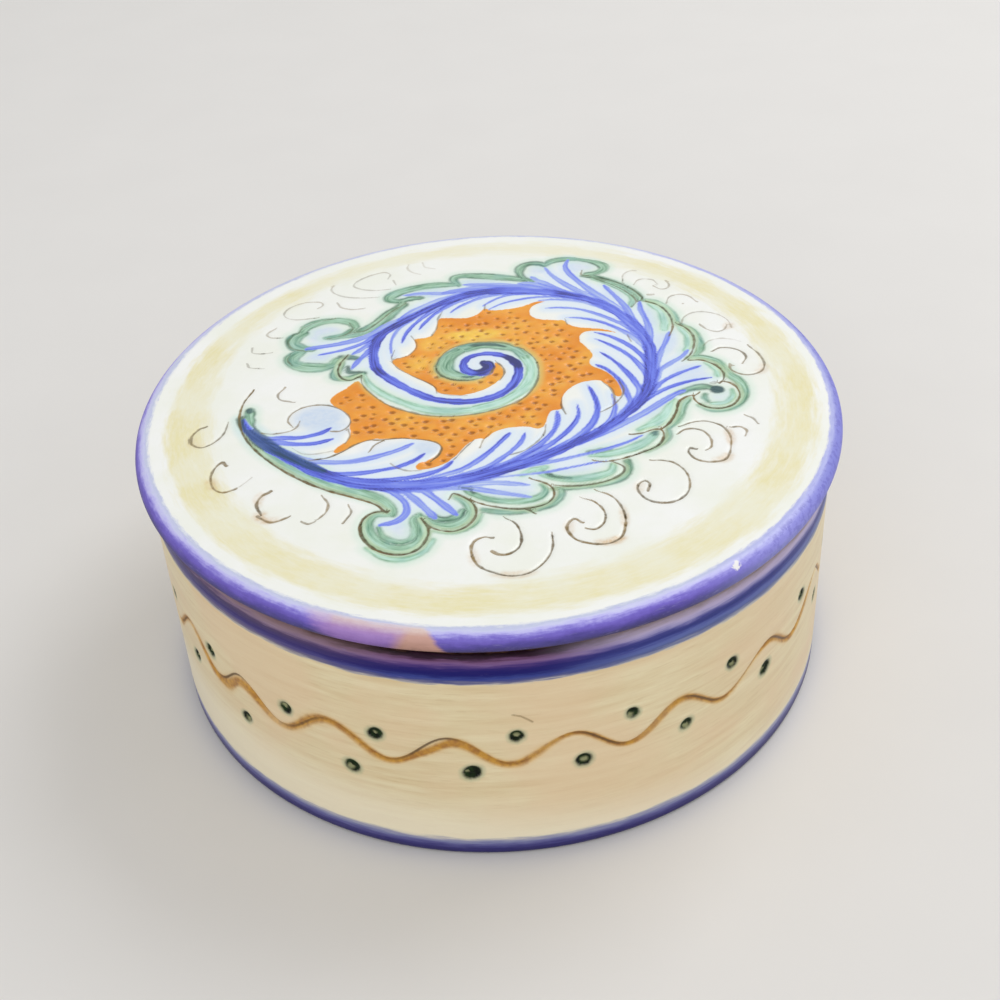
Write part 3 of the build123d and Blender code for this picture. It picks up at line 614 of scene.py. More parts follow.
lid = {
    "radius": 57.5, "top": 46.7, "lipBottom": 43.5, "seat": 42.0, "lipTopRound": 2.0, "lipLowRound": 1.0,
    "ringOuter": 50.2, "ringInner": 46.2, "ringBottom": 36.5, "ringRound": 1.3, "ringRoot": 0.8,
    "panel": 48.5, "cells": 288,  # the scratched middle is an even grid in a disc
    "rimRings": (50.5, 53.0, 54.6), "underRings": (44, 30, 15, 5),
    "lineScale": 1.15, "lineSnap": 0.17, "scratchDepth": 0.20, "groundSink": 0.10,
    "pitDepth": 0.38, "pitPitch": 2.12, "pitShift": 0.55, "pitMargin": 0.8,
    "strokeApart": 31}  # millimetres along the brush's hairs from one stroke to the next


def discGrid(radius, cells):
    # even square grid pressed into a disc: each square ring becomes a circle, angles in step along the side
    a, b = np.meshgrid(np.linspace(-1, 1, cells + 1), np.linspace(-1, 1, cells + 1), indexing="ij")
    wide = np.abs(a) > np.abs(b)
    eighth = np.pi / 4
    level = eighth * b / np.where(a == 0, 1, a)
    steep = 2 * eighth - eighth * a / np.where(b == 0, 1, b)
    angle = np.where(wide, level, steep)
    size = np.where(wide, a, b) * radius
    return np.stack([size * np.cos(angle), size * np.sin(angle)], 2).reshape(-1, 2)


def strokeHalf(start, middle, end, count):
    # half width along a stroke: the parabola through its three widths, with a slow unevenness of the hand
    t = np.linspace(0, 1, count)
    half = start * (1 - t) * (1 - 2 * t) + 4 * middle * t * (1 - t) + end * t * (2 * t - 1)
    return np.maximum(half * (1 + 0.10 * np.sin(t * hand.uniform(9, 15) + hand.uniform(0, 6))), 0.05)


def blobs(spots, places):
    # soft ellipses, the strongest one wins
    ink = np.zeros(len(spots))
    for x, y, wide, high, strength in places:
        off = np.hypot((spots[:, 0] - x) / wide, (spots[:, 1] - y) / high)
        ink = np.maximum(ink, strength * smooth(1.15, 0.5, off))
    return ink


def emptyField(*names):
    return {"edge": np.full(len(spots), reach), **{name: np.zeros(len(spots)) for name in names}}


def takeNearest(kept, edge, **values):
    # where this line's edge is the nearest so far, its values take the place of the earlier ones
    closer = edge < kept["edge"]
    for name, value in values.items():
        kept[name] = np.where(closer, value, kept[name])
    kept["edge"] = np.minimum(kept["edge"], edge)


spots = discGrid(lid["panel"], lid["cells"])
# grid points close to a scratch are drawn onto its line, so the groove runs clean through the grid
gap = np.full(len(spots), lid["lineSnap"])
target = spots.copy()
for *_, points in scratches:
    curve = curveThrough(points)
    edge, _, _, onLine = strokeField(spots, curve, np.zeros(len(curve)), 0.2)
    closer = edge < gap
    gap = np.where(closer, edge, gap)
    target = np.where(closer[:, None], onLine, target)
spots = target

scratchField = emptyField("ink", "side", "half")
for start, middle, end, strength, points in scratches:
    curve = curveThrough(points)
    half = lid["lineScale"] * strokeHalf(start, middle, end, len(curve))
    edge, _, side, onLine = strokeField(spots, curve, half, reach)
    # the offset to one side runs straight through zero, so the line stays sharp between grid points
    takeNearest(scratchField, edge, ink=strength, side=side, half=np.hypot(*(spots - onLine).T) - edge)

# blue: coats of thin paint, each letting the one below show; run and side place the hairs of the brush
ribCurve = curveThrough(blueRib)
ribEnd = len(ribCurve) - 1
ribWide = np.interp(np.linspace(0, len(blueRib) - 1, len(ribCurve)), np.arange(len(blueRib)), ribHalf)
ribLong = np.linspace(0, 60, len(ribCurve))
ribWide = ribWide * (0.80 + 0.06 * np.sin(3.1 * ribLong) + 0.05 * np.sin(7.3 * ribLong + 1))
blueLines = [(ribCurve, ribWide, 0.60, 0.0)]
for start, middle, end, strength, points in blueStrokes:
    # a vein starts at a narrow tip, reaches the rib and runs on along it for some 9 mm, closing in on it
    root = np.array(points[-1])
    k = ((ribCurve - root) ** 2).sum(1).argmin()
    way = np.sign((ribCurve[min(k + 4, ribEnd)] - ribCurve[max(k - 4, 0)]) @ (root - points[-2]))
    follow = np.clip(k + way * np.array([6, 10, 14, 18]), 0, ribEnd).astype(int)
    tail = ribCurve[follow] + (root - ribCurve[k]) * np.array([[0.75], [0.55], [0.4], [0.3]])
    vein, curve = curveThrough(points), curveThrough([*points, *tail])
    tip = 0.6 + 0.4 * smooth(0, 0.1, np.linspace(0, 1, len(vein)))
    half = 0.98 * strokeHalf(start, middle, end, len(vein)) * tip
    half = np.append(half, np.linspace(end, 0.2, len(curve) - len(vein)))
    blueLines.append((curve, half, 0.86 * strength, 0.5))
blueField = emptyField("paint", "run", "side")
for number, (curve, half, strength, thinning) in enumerate(blueLines):
    edge, run, side, _ = strokeField(spots, curve, half, reach)
    part = run / stepLengths(curve).sum()
    # fuller at the tip where the brush was set down, thinner towards the end
    load = 1 + 0.12 * (thinning > 0) * np.exp(-run / 1.6)
    load = load + 0.3 * (number == 0) * smooth(0.56, 0.66, part)  # the bare curl beyond the last veins
    cover = strength * load * (1 - thinning * smooth(0.25, 0.9, part)) * smooth(0.26, -0.16, edge)
    blueField["paint"] = blueField["paint"] + cover * (1 - blueField["paint"])
    takeNearest(blueField, edge, run=run + lid["strokeApart"] * number, side=side)
for start, middle, end, strength, points in bluePasses:
    curve = curveThrough(points, 12)
    edge, run, _, _ = strokeField(spots, curve, strokeHalf(start, middle, end, len(curve)), reach)
    part = run / stepLengths(curve).sum()
    cover = 1.15 * strength * smooth(0.7, -0.7, edge) * smooth(0, 0.25, part) * smooth(1, 0.75, part)
    blueField["paint"] = blueField["paint"] + np.minimum(cover, 1) * (1 - blueField["paint"])

# green: the later stroke's tone covers the earlier one
greenField = emptyField("tone", "run", "side")
for number, (start, middle, end, tone, points) in enumerate(greenStrokes):
    curve = curveThrough(points)
    edge, run, side, _ = strokeField(spots, curve, strokeHalf(start, middle, end, len(curve)), reach)
    take = smooth(0.25, -0.25, edge)
    fresh = (greenField["edge"] > 0.3) & (edge < greenField["edge"])
    greenField["tone"] = np.where(fresh, tone, greenField["tone"] * (1 - take) + tone * take)
    takeNearest(greenField, edge, run=run + lid["strokeApart"] * number, side=side)
groundLine = cutCorners(orangeOutline)
orangeEdge = regionEdge(spots, groundLine)
print("scroll strokes measured", len(blueLines), len(greenStrokes), len(scratches))

# pits pressed into the orange ground: a loose triangular lattice, kept where the ground is wide enough
pitch = lid["pitPitch"]
row, column = np.meshgrid(np.arange(-19, 20), np.arange(-17, 18), indexing="ij")
pits = np.stack([(column + 0.5 * (row % 2)) * pitch, row * pitch * 0.87], 2).reshape(-1, 2)
pits = pits + hand.uniform(-lid["pitShift"], lid["pitShift"], pits.shape)
pits = pits[regionEdge(pits, groundLine) < -lid["pitMargin"]]
pitDrop, pitShade = np.zeros((2, len(spots)))
for pit, size, lean in zip(pits, hand.uniform(0.8, 1.2, len(pits)), hand.uniform(-0.25, 0.25, len(pits))):
    size = size * (1.08 - 0.005 * pit[1])  # pressed harder at the front
    near = np.flatnonzero((np.abs(spots - pit) < reach).all(1))
    dx, dy = (spots[near] - pit).T
    across, upward = dx * np.cos(lean) + dy * np.sin(lean), dy * np.cos(lean) - dx * np.sin(lean)
    # a bell-shaped dip, with painted shade in a crescent on its far wall, partly glaze pooled there, and a
    # painted highlight on its near lip
    dip = (across / 0.68) ** 2 + (upward / 0.52) ** 2
    farCrescent = (across / 0.64) ** 2 + ((upward - 0.26 + 0.34 * across ** 2) / 0.25) ** 2
    pale = (across / 0.68) ** 2 + ((upward + 0.42 - 0.3 * across ** 2) / 0.25) ** 2
    pitDrop[near] = np.maximum(pitDrop[near], size * np.exp(-dip / size))
    pitShade[near] = pitShade[near] + size * (np.exp(-farCrescent / size) - np.exp(-pale / size))
print("pits", len(pits))

# top of the lid: level, less the scratches, the pits and the slightly cut-back orange ground
groove = np.clip(scratchField["ink"] + 0.15, 0, 1) * bell(np.maximum(scratchField["edge"] + 0.26, 0), 0, 0.36)
sink = lid["groundSink"] * smooth(0.15, -0.25, orangeEdge)
height = lid["top"] - lid["scratchDepth"] * groove - lid["pitDepth"] * pitDrop - sink
panel = np.column_stack([spots, height])

cells = lid["cells"]
index = np.arange((cells + 1) ** 2).reshape(cells + 1, cells + 1)
panelFaces = np.stack([index[:-1, :-1], index[1:, :-1], index[1:, 1:], index[:-1, 1:]], 2).reshape(-1, 4)
# the grid's border in order of angle
border = np.concatenate([index[-1, :-1], index[:0:-1, -1], index[0, :0:-1], index[:-1, 0]])
ringAngles = np.arctan2(spots[border, 1], spots[border, 0])[::4]

rTop, rLow, rRing, rRoot = lid["lipTopRound"], lid["lipLowRound"], lid["ringRound"], lid["ringRoot"]
top, seat, lipBottom = lid["top"], lid["seat"], lid["lipBottom"]
rimLine = np.vstack([
    [(r, top) for r in lid["rimRings"]],
    arc(lid["radius"] - rTop, top - rTop, rTop, 90, 0, 10),
    arc(lid["radius"] - rLow, lipBottom + rLow, rLow, 0, -90, 7)])
underLine = np.vstack([
    [(55.9, lipBottom), (55.55, lipBottom - 0.12), (54.4, seat + 0.12), (54.05, seat)],
    [(50.5, seat), (50.25, seat - 0.1), (lid["ringOuter"], seat - 0.4)],
    arc(lid["ringOuter"] - rRing, lid["ringBottom"] + rRing, rRing, 0, -90, 6),
    arc(lid["ringInner"] + rRing, lid["ringBottom"] + rRing, rRing, -90, -180, 6),
    arc(lid["ringInner"] - rRoot, seat - rRoot, rRoot, 0, 90, 5),
    [(r, seat) for r in lid["underRings"]]])
lidLine = np.vstack([rimLine, underLine])
lidPoints = np.vstack([panel, spunRings(lidLine, ringAngles), [(0, 0, seat)]])
first = len(panel)
lidFaces = [panelFaces, fourToOne(border, first), *ringFaces(first, len(lidLine), cells, len(lidPoints) - 1)]
lidSlots = [np.full(len(group), 0 if i < len(rimLine) + 1 else 1) for i, group in enumerate(lidFaces)]

# rimRun: distance from the middle measured along the surface, out over the lip and down it
ringRun = np.repeat(lidLine[0, 0] + np.append(0, np.cumsum(stepLengths(lidLine))), cells)
rimRun = np.concatenate([np.hypot(*spots.T), ringRun, [ringRun[-1]]])
# degrees round the lid from the front, positive to the right
aim = np.degrees(np.arctan2(lidPoints[:, 0], -lidPoints[:, 1]))
# the purple starts later at the right and the back: degrees, then millimetres
lipStart = np.array([
    (-180, 0.65), (-90, 0.2), (-65, 0), (-35, 0), (0, 0.2), (25, -0.15),
    (45, 0.25), (65, 0.5), (95, 0.55), (180, 0.65)])
lipRun = rimRun - np.interp(aim, *lipStart.T)
# the straw band reaches in further at the front and most at the left, and out further at the right
widen = 1.5 * (1 + np.cos(np.radians(aim))) + 2.0 * bell(aim, -85, 25) - 1.2 * bell(aim, -10, 18)
strawRun = rimRun + widen * smooth(50.5, 47, rimRun)
strawRun = strawRun - 0.6 * np.sin(np.radians(aim)) * smooth(50.5, 52.5, rimRun)
# patch at the front left of the lip where the brush ran dry: its slanting ends, in millimetres round the lip
way = np.radians(aim) * lid["radius"]
wornEdge = np.maximum((-29.2 + 0.9 * (rimRun - 55) - way) / 4, way + 10.8 - 0.75 * (rimRun - 55))
tanEdge = np.minimum(-14.2 - 0.5 * (rimRun - 58) - way, np.maximum(rimRun - 56.4, -24.0 - way))

lines = {"blue": blueField, "green": greenField, "scratch": scratchField}
lidFields = {name + key.capitalize(): values for name, kept in lines.items() for key, values in kept.items()}
lidFields.update({"orangeEdge": orangeEdge, "pitShade": pitShade})
lidFields.update({
    "wash": blobs(spots, washBlobs), "bloom": blobs(spots, bloomBlobs), "rust": blobs(spots, rustBlobs)})
rest = len(lidPoints) - len(panel)
beyond = {key: np.full(rest, reach if key.endswith("Edge") else 0) for key in lidFields}
lidFields = {key: np.append(values, beyond[key]) for key, values in lidFields.items()}
lidFields.update({
    "rimRun": rimRun, "lipRun": lipRun, "strawRun": strawRun, "wornEdge": wornEdge, "tanEdge": tanEdge})

# painted earthenware under a satin clear glaze: chalky white, thin brush colours with soft edges
lidGlaze, tree = newMaterial("tin glazed earthenware painted")
field = {key: addNode("Attribute", attribute_name=key, out="Fac") for key in lidFields}
spot, heading, _, _ = surfaceSpots()
toRight, toBack = addNode("SeparateXYZ", heading), addNode("SeparateXYZ", heading, out=1)
# cloudy unevenness in patches about 12 mm across, and grain about 1 mm across
cloud = addNode("TexNoise", Vector=spot, Scale=1 / 12, Detail=4, Roughness=0.6)
grain = addNode("TexNoise", Vector=spot, Scale=1 / 0.9, Detail=3, Roughness=0.6)
wobble = grain, 0.08  # ragged brush edge, mm
# on a 9 mm circle, so the wheel's streaks are drawn out about six times
streak, hairs = wheelStreaks(heading, 9, field["rimRun"], (0.9, 4, 0.6), (2.4, 4, 0.7))

colour = addNode("ValToRGB", cloud, stops=[(0.35, "#F8FAF0"), (0.65, "#FCFDFA")])

# straw-yellow wash banded on the wheel between about 49 and 53 mm from the middle, fainter at the back
bandRun = shaken(field["strawRun"], (streak, 0.9))
thick = addNode("MapRange", cloud, 0.34, 0.62, 0.45, 0.9)
fine = addNode("MapRange", hairs, 0.36, 0.64, 0.85, 1.15)
faint = addNode("MapRange", toBack, 0.7, 0.97, 1, 0.6, **soft)
colour = coat(colour, "#F0E8B6", (bandRun, 47.2, 50.6), (bandRun, 54.0, 51.6), thick, fine, faint)

# rust in soft patches beside some scratches, and a few iron specks about half a millimetre across
stained = addNode("MapRange", grain, 0.3, 0.62, 0.35, 1)
beside = addNode("MapRange", field["scratchEdge"], 1.2, 0.1, 0.06, 0.8, **soft)
colour = coat(colour, "#D8AC6E", stained, field["rust"], beside)
specks = addNode("TexVoronoi", Vector=spot, Scale=1 / 11, out="Distance")
colour = coat(colour, "#A8977A", (specks, 0.030, 0.016, 0.5))

# purple lip: a thin grey line, a pale turn of the brush, then the full colour out and down the lip, darker
# towards its lower edge: partly the paint, partly painted shade under the lip
lipRun = shaken(field["lipRun"], (hairs, 0.22))
lipDeep = shaken(lipRun, (grain, 0.12), (streak, 0.3))
lip = colourAlong(
    lipDeep, 54.6, 61.0, (0.0, "#F6F5F4"), (0.05, "#E4E8F2"), (0.11, "#C8CEEA"), (0.18, "#D2D4F6"),
    (0.26, "#C4C0F8"), (0.32, "#9C92E6"), (0.38, "#7A6AD0"), (0.46, "#6C5AC0"), (0.54, "#5446A2"),
    (0.62, "#443A88"), (0.70, "#382F6E"), (0.78, "#322A5C"))
# the paint is thinner and bluer at the right, and dappled and darker again at the far right
full = lipRun, 55.2, 56.0, 0.75
lip = coat(lip, "#A6AAF2", (toRight, 0.42, 0.78, 0.6))
lip = coat(lip, "#7C80DA", (toRight, 0.72, 0.93), full)
lip = coat(lip, "#625CBA", (grain, 0.47, 0.60, 0.5), (toRight, 0.5, 0.8), full)
lip = coat(lip, "#A49CE0", (hairs, 0.58, 0.76, 0.4))
# the dry patch: lilac with a peach end, both darkening down the lip into painted shade
lilac = (0.1, "#DCCBE4"), (0.35, "#B48CD0"), (0.6, "#8F69B4"), (0.9, "#3E2450")
peach = (0.1, "#EBD6CC"), (0.35, "#D8A890"), (0.6, "#BE907C"), (0.9, "#5A3A38")
lilac, peach = (colourAlong(lipDeep, 55, 61, *stops) for stops in (lilac, peach))
dry = coat(lilac, peach, (field["tanEdge"], 1.4, -1.4))
lip = coat(lip, dry, (shaken(field["wornEdge"], (hairs, 0.22)), 0.5, -0.7, 0.92), (lipRun, 55.0, 56.0))
colour = coat(colour, lip, (lipRun, 54.6, 55.0))
# a painted highlight on the lip at the front right: a small spot of near white
lipGlint = addNode("VectorMath", spot, (34.06, -45.24, 46.35), operation="DISTANCE", out="Value")
colour = coat(colour, "#F4F2F2", (shaken(lipGlint, (grain, 0.4)), 0.75, 0.45))

# pale blue washed inside the lobes and between the veins, and green bled into the white round its strokes
damp = addNode("MapRange", grain, *usual, 0.7, 1)
colour = coat(colour, "#DFEFFF", (field["blueEdge"], 2.2, 0.3, 0.74))
colour = coat(colour, "#CFE0F6", field["wash"], damp)
colour = coat(colour, "#D6F0DE", (field["greenEdge"], 1.9, 0.1, 0.65), damp)

# orange ground: mottled, yellower in the bloom and beside the green; in the pits painted brown shade on the
# far wall and a painted highlight on the near lip
mottle = addNode("TexNoise", Vector=spot, Scale=1 / 6, Detail=4)
orange = addNode("ValToRGB", mottle, stops=[(0.34, "#EE9222"), (0.5, "#F6A234"), (0.68, "#FBBA48")])
orange = coat(orange, "#FFD658", field["bloom"], damp)
orange = coat(orange, "#E6CB72", (field["greenEdge"], 1.5, 0.2, 0.75))
# painted shade on the far side of each pit, then a painted highlight on its near lip
orange = coat(orange, "#8E5216", (field["pitShade"], 0.2, 0.8, 0.72))
orange = coat(orange, "#FAD28C", (field["pitShade"], -0.2, -0.8, 0.55))
colour = coat(colour, orange, (shaken(field["orangeEdge"], wobble), 0.12, -0.12))

# green brushwork: tone of the stroke, streaked along it, darker where it pooled at its edge
brush = brushHairs("green", 0.2, 1.5)
edge = shaken(field["greenEdge"], wobble)
pool = addNode("MapRange", edge, -0.6, -0.1, 0, 0.24, **soft)
tone = addNode("Math", shaken(field["greenTone"], (brush, 0.24)), pool, operation="ADD")
green = addNode("ValToRGB", tone, stops=[
    (0.0, "#C6EEE0"), (0.2, "#B0E0CA"), (0.4, "#96C6A6"), (0.58, "#74A886"), (0.78, "#467A5E"),
    (1.0, "#234A3B")])
# bluer in patches some 4 mm across, and a pale yellow-green line where the point pushed the paint aside
puddle = addNode("TexNoise", Vector=spot, Scale=1 / 4, Detail=2)
green = coat(green, "#7CB4AC", (puddle, 0.46, 0.66, 0.45))
green = coat(green, "#D2E4B4", (field["scratchEdge"], 0.75, 0.2, 0.5), (field["scratchInk"], 0.5, 0.8))
greenMask = addNode("MapRange", edge, 0.42, -0.30, **soft)
colour = coat(colour, green, greenMask, addNode("MapRange", brush, *usual, 0.74, 0.98))

# blue brushwork, darker where coats lie over each other and along the edges
edge = shaken(field["blueEdge"], wobble)
pool = addNode("MapRange", edge, -0.5, -0.1, 0, 0.15, **soft)
ink = addNode("Math", shaken(field["bluePaint"], (brushHairs("blue", 0.11, 2), 0.17)), pool, operation="ADD")
blue = addNode("ValToRGB", ink, stops=[
    (0.2, "#C2D2F8"), (0.4, "#9EB2F6"), (0.56, "#8294F6"), (0.70, "#667AF2"), (0.85, "#4450D2"),
    (1.0, "#161A74")])
colour = coat(colour, blue, (edge, 0.22, -0.18, 0.96))
# the darkest green was laid last and turns the blue below it to teal
colour = coat(colour, "#22505E", greenMask, (field["greenTone"], 0.74, 0.88, 0.66))

# scratched lines show the brown clay below, stained where green ran in, torn and broken here and there
brown = addNode("ValToRGB", mottle, stops=[(0.38, "#66573A"), (0.62, "#947A48")])
brown = coat(brown, "#3E4C34", addNode("MapRange", greenMask, 0, 1, 0, 0.6))
across = addNode("Math", field["scratchSide"], operation="ABSOLUTE")
across = addNode("Math", across, field["scratchHalf"], operation="SUBTRACT")
across = shaken(across, (addNode("TexNoise", Vector=spot, Scale=1 / 1.4, Detail=1), 0.07))
broken = addNode("MapRange", grain, 0.3, 0.6, 0.8, 1.15)
near = field["scratchEdge"], 0.42, 0.22
colour = coat(colour, brown, (across, 0.10, -0.16), near, broken, field["scratchInk"])

skin = addNode("TexNoise", Vector=spot, Scale=1 / 3.2, Detail=3)
gloss = addNode("MapRange", cloud, *usual, 0.28, 0.40)
dull = addNode("MapRange", lipRun, 55.0, 56.5, 0, 0.55, **soft)  # the lip's paint is dull
closeMaterial(colour, addNode("Math", gloss, dull, operation="MAXIMUM"), skin, 0.2, 0.35)

# underside of the lid: the same white glaze with nothing painted, bare clay where it would stick in the kiln
underGlaze, tree = newMaterial("tin glazed earthenware with bare clay seat")
spot, _, radius, level = surfaceSpots()
tip = addNode("MapRange", level, 37.6, 37.1, **soft)
seatRing = addNode("MapRange", radius, 49.6, 50.0, **soft)
seatHigh = addNode("MapRange", level, 41.2, 41.7, **soft)
seatMask = addNode("Math", seatRing, seatHigh, operation="MULTIPLY")
bare = addNode("Math", tip, seatMask, operation="MAXIMUM")
colour, gloss, _, grit = plainGlaze(spot, bare, 9, 0.34, (0.35, "#E6DFC8"), (0.65, "#F1EDDF"))
closeMaterial(colour, gloss, grit, 0.2, 0.4)

lidPiece = makePiece("lid_painted", lidPoints, lidFaces, lidFields, [lidGlaze, underGlaze], lidSlots)
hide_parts("lid")
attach(lidPiece, "cover")
print("lid made", len(lidPoints))

# cup: wall with the scratched wave and pressed dots, angles in degrees from the front, positive to the right
cup = {
    "radius": 56.0, "height": 42.0, "wall": 5.0, "floor": 6.7, "mouthRound": 1.0, "rimRound": 1.8,
    "baseRound": 0.8, "innerCorner": 4.0, "footInner": 49.0, "footRecess": 1.2, "footRound": 0.5,
    "footRows": (1.4, 5, 9, 13), "waveRows": (13.6, 31.0, 0.33), "rimRows": (32, 36.1, 38.2),
    "insideRows": (38, 34, 28, 20, 14), "footRings": (47, 38, 28, 18, 8, 3), "segments": 1080,
    "lineDepth": 0.34, "lineWide": 0.36, "dotDepth": 0.45, "dotSize": 1.32, "slipDepth": 0.12,
    "throwingRing": 6.5, "throwingDepth": 0.1,
    "degree": 0.977}  # one degree of the wall in millimetres

# turning points of the wave at angle and height; round the back they keep step, a little uneven
turns = [
    (-61, 26.0), (-52.5, 20.6), (-46, 24.6), (-37.2, 19.5), (-28, 24.8), (-18.2, 19.6), (-8.6, 25.3),
    (0.8, 19.9), (10.2, 24.7), (18.8, 19.9), (28, 24.7), (36.8, 19.9), (47.3, 24.6), (55, 20.1), (66, 25.2)]
# dots at angle and height, then the pale heart, partly thin paint and partly a painted glint: across, up,
# half size, paleness
dots = [
    (-54, 25.0, 0.1, 0.0, 0.7, 0.7), (-35.9, 23.8, -0.3, 0.2, 0.6, 0.95), (-19.9, 24.7, -0.1, 0.0, 0.42, 0.8),
    (1.6, 25.8, 0.0, 0.0, 0.5, 1.0), (19.5, 25.9, -0.4, -0.5, 0.7, 0.75), (38, 26.4, 0.2, -0.5, 0.6, 0.8),
    (58.4, 26.0, 0.0, -0.1, 0.7, 0.8), (-61, 18.9, 0.2, 0.0, 0.7, 0.7), (-46.1, 15.9, 0.1, -0.5, 0.75, 0.8),
    (-24.6, 16.4, -0.4, -0.5, 0.7, 0.85), (-5.4, 18.5, -0.75, 0.0, 0.42, 0.75),
    (11.6, 18.9, 0.1, -0.2, 0.65, 1.0), (29, 19, 0.0, -0.5, 0.6, 0.95), (46.7, 19.4, -0.6, -0.2, 0.65, 0.85),
    (67.3, 19.0, 0.2, -0.2, 0.7, 0.7)]
for step in range(25):
    place = 74 + 9 * step
    turns.append((place + hand.uniform(-1, 1), (20.1, 24.6)[step % 2] + hand.uniform(-0.4, 0.4)))
    heart = hand.uniform((-0.6, -0.5, 0.42, 0.65), (0.4, 0.3, 0.75, 1.0))
    dots.append((place + hand.uniform(-1.5, 1.5), (25.8, 18.6)[step % 2] + hand.uniform(-1.0, 0.8), *heart))
turns = np.array(sorted(turns))
turns = np.vstack([turns[-1:] - (360, 0), turns, turns[:1] + (360, 0)])

wallRadius, wallHeight, mouth = cup["radius"], cup["height"], cup["radius"] - cup["wall"]
rRim, rBase, rMouth, rCorner = cup["rimRound"], cup["baseRound"], cup["mouthRound"], cup["innerCorner"]
footInner, footRecess, rFoot = cup["footInner"], cup["footRecess"], cup["footRound"]
wallRows = [*cup["footRows"], *np.arange(*cup["waveRows"]), *cup["rimRows"]]  # close together at the wave
rimArc = arc(wallRadius - rRim, wallHeight - rRim, rRim, 0, 90, 9)
baseArc = arc(wallRadius - rBase, rBase, rBase, -90, 0, 5)
outerLine = np.vstack([baseArc, [(wallRadius, z) for z in wallRows], rimArc])
# the floor inside keeps low rings from the thrower's fingers: a cosine along the radius
floorRun = np.arange(45.5, 3, -1.3)
floorWave = cup["throwingDepth"] * (1 - np.cos(2 * np.pi * floorRun / cup["throwingRing"]))
floorWave = floorWave * smooth(46, 41, floorRun)
insideLine = np.vstack([
    arc(mouth + rMouth, wallHeight - rMouth, rMouth, 90, 180, 6),
    [(mouth, z) for z in cup["insideRows"]],
    arc(mouth - rCorner, cup["floor"] + rCorner, rCorner, 0, -90, 8),
    np.column_stack([floorRun, cup["floor"] + floorWave])])
footLine = np.vstack([
    [(54.6, 0), (50, 0)],
    arc(footInner + rFoot, rFoot, rFoot, -90, -180, 4),
    [(footInner - 0.1, footRecess - 0.2), (footInner - 0.5, footRecess)],
    [(r, footRecess) for r in cup["footRings"]]])

fineCount = cup["segments"]
coarseCount = fineCount // 4
turn = np.arange(fineCount) / fineCount * 2 * np.pi
outer = spunRings(outerLine, turn)
inside = spunRings(insideLine, turn[::4])
foot = spunRings(footLine, turn[::4])

along = (np.degrees(np.arctan2(outer[:, 0], -outer[:, 1])) + 70) % 360 - 70
upTo = outer[:, 2]
# the wave swings from one turning point to the next along half a cosine
at = np.searchsorted(turns[:, 0], along) - 1
span, swing = (turns[at + 1] - turns[at]).T
part = np.pi * (along - turns[at, 0]) / span
waveHeight = turns[at, 1] + swing * (1 - np.cos(part)) / 2
slope = swing * np.pi / 2 * np.sin(part) / (np.radians(span) * wallRadius)  # rise per millimetre round
# distance from the scratched wave: height above it, shortened by its slope
waveOff = (upTo - waveHeight) / np.sqrt(1 + slope ** 2)
# the brush followed the scratch freely, and twice it cut the corner below a crest
brushOff = waveOff - 0.16 * np.sin(np.radians(11 * along + 25)) - 0.10 * np.sin(np.radians(29 * along))
missed = bell(along, -10.3, 3.0) + bell(along, -48.5, 3.0)
brushOff = brushOff + 1.1 * missed + 0.7 * bell(along, -45, 2.5)
brushHalf = 0.52 + 0.12 * np.sin(np.radians(13 * along + 80)) + 0.08 * np.sin(np.radians(31 * along))
brushHalf = brushHalf + 0.22 * bell(along, -40, 28) + 0.2 * bell(along, -8, 5) + 0.3 * bell(along, -49, 6)
brushOff = brushOff / brushHalf
# at the right thin paint where the brush climbed and a dark scratch where it fell,
# at the left a dark scratch where it climbed
onRight = smooth(-6, 12, along)
brushLoad = 0.95 - 0.18 * onRight * smooth(0.2, 0.75, slope) - 0.5 * bell(along, -38.5, 2.2)
waveInk = np.clip(0.28 + slope * (0.4 - 1.2 * onRight) + 0.75 * missed, 0.08, 0.85)

dotOff = np.full(len(outer), 3.0)
dotDrop, dotShine = np.zeros((2, len(outer)))
sizes = hand.uniform(0.86, 1.08, len(dots))
sizes[10] = 1.16  # the one pressed hardest
leans = hand.uniform(-0.5, 0.5, len(dots))
for (where, level, heartX, heartY, heart, pale), size, lean in zip(dots, sizes, leans):
    dx = np.radians((along - where + 180) % 360 - 180) * wallRadius
    dy = upTo - level
    off = np.sqrt(dx ** 2 + dy ** 2 + lean * dx * dy) / (size * cup["dotSize"])
    dotOff = np.minimum(dotOff, off)
    # pressed with a blunt hollow point: a ring of depth round a small boss
    dotDrop = np.maximum(dotDrop, bell(off, 0.45, 0.36))
    # most dots have a pale heart on one side: partly thin paint, partly a painted glint on the boss
    heartOff = (dx - heartX) ** 2 + 1.4 * (dy - heartY) ** 2
    dotShine = np.maximum(dotShine, pale * np.exp(-heartOff / heart ** 2))
# one slip of the scratching tool above the wave at the front
slipLine = curveThrough([(1.15, 30.1), (2.35, 29.7), (3.3, 29.0), (4.1, 28.3)]) * (cup["degree"], 1)
wallSpots = np.column_stack([along * cup["degree"], upTo])
slipEdge = strokeField(wallSpots, slipLine, np.full(len(slipLine), 0.16), reach)[0]

cutIn = cup["lineDepth"] * bell(waveOff, 0, cup["lineWide"]) + cup["dotDepth"] * dotDrop
cutIn = cutIn + cup["slipDepth"] * bell(np.maximum(slipEdge + 0.1, 0), 0, 0.3)
shrink = 1 - np.where((upTo > 2) & (upTo < 40), cutIn, 0) / wallRadius
outer = outer * np.column_stack([shrink, shrink, np.ones(len(outer))])

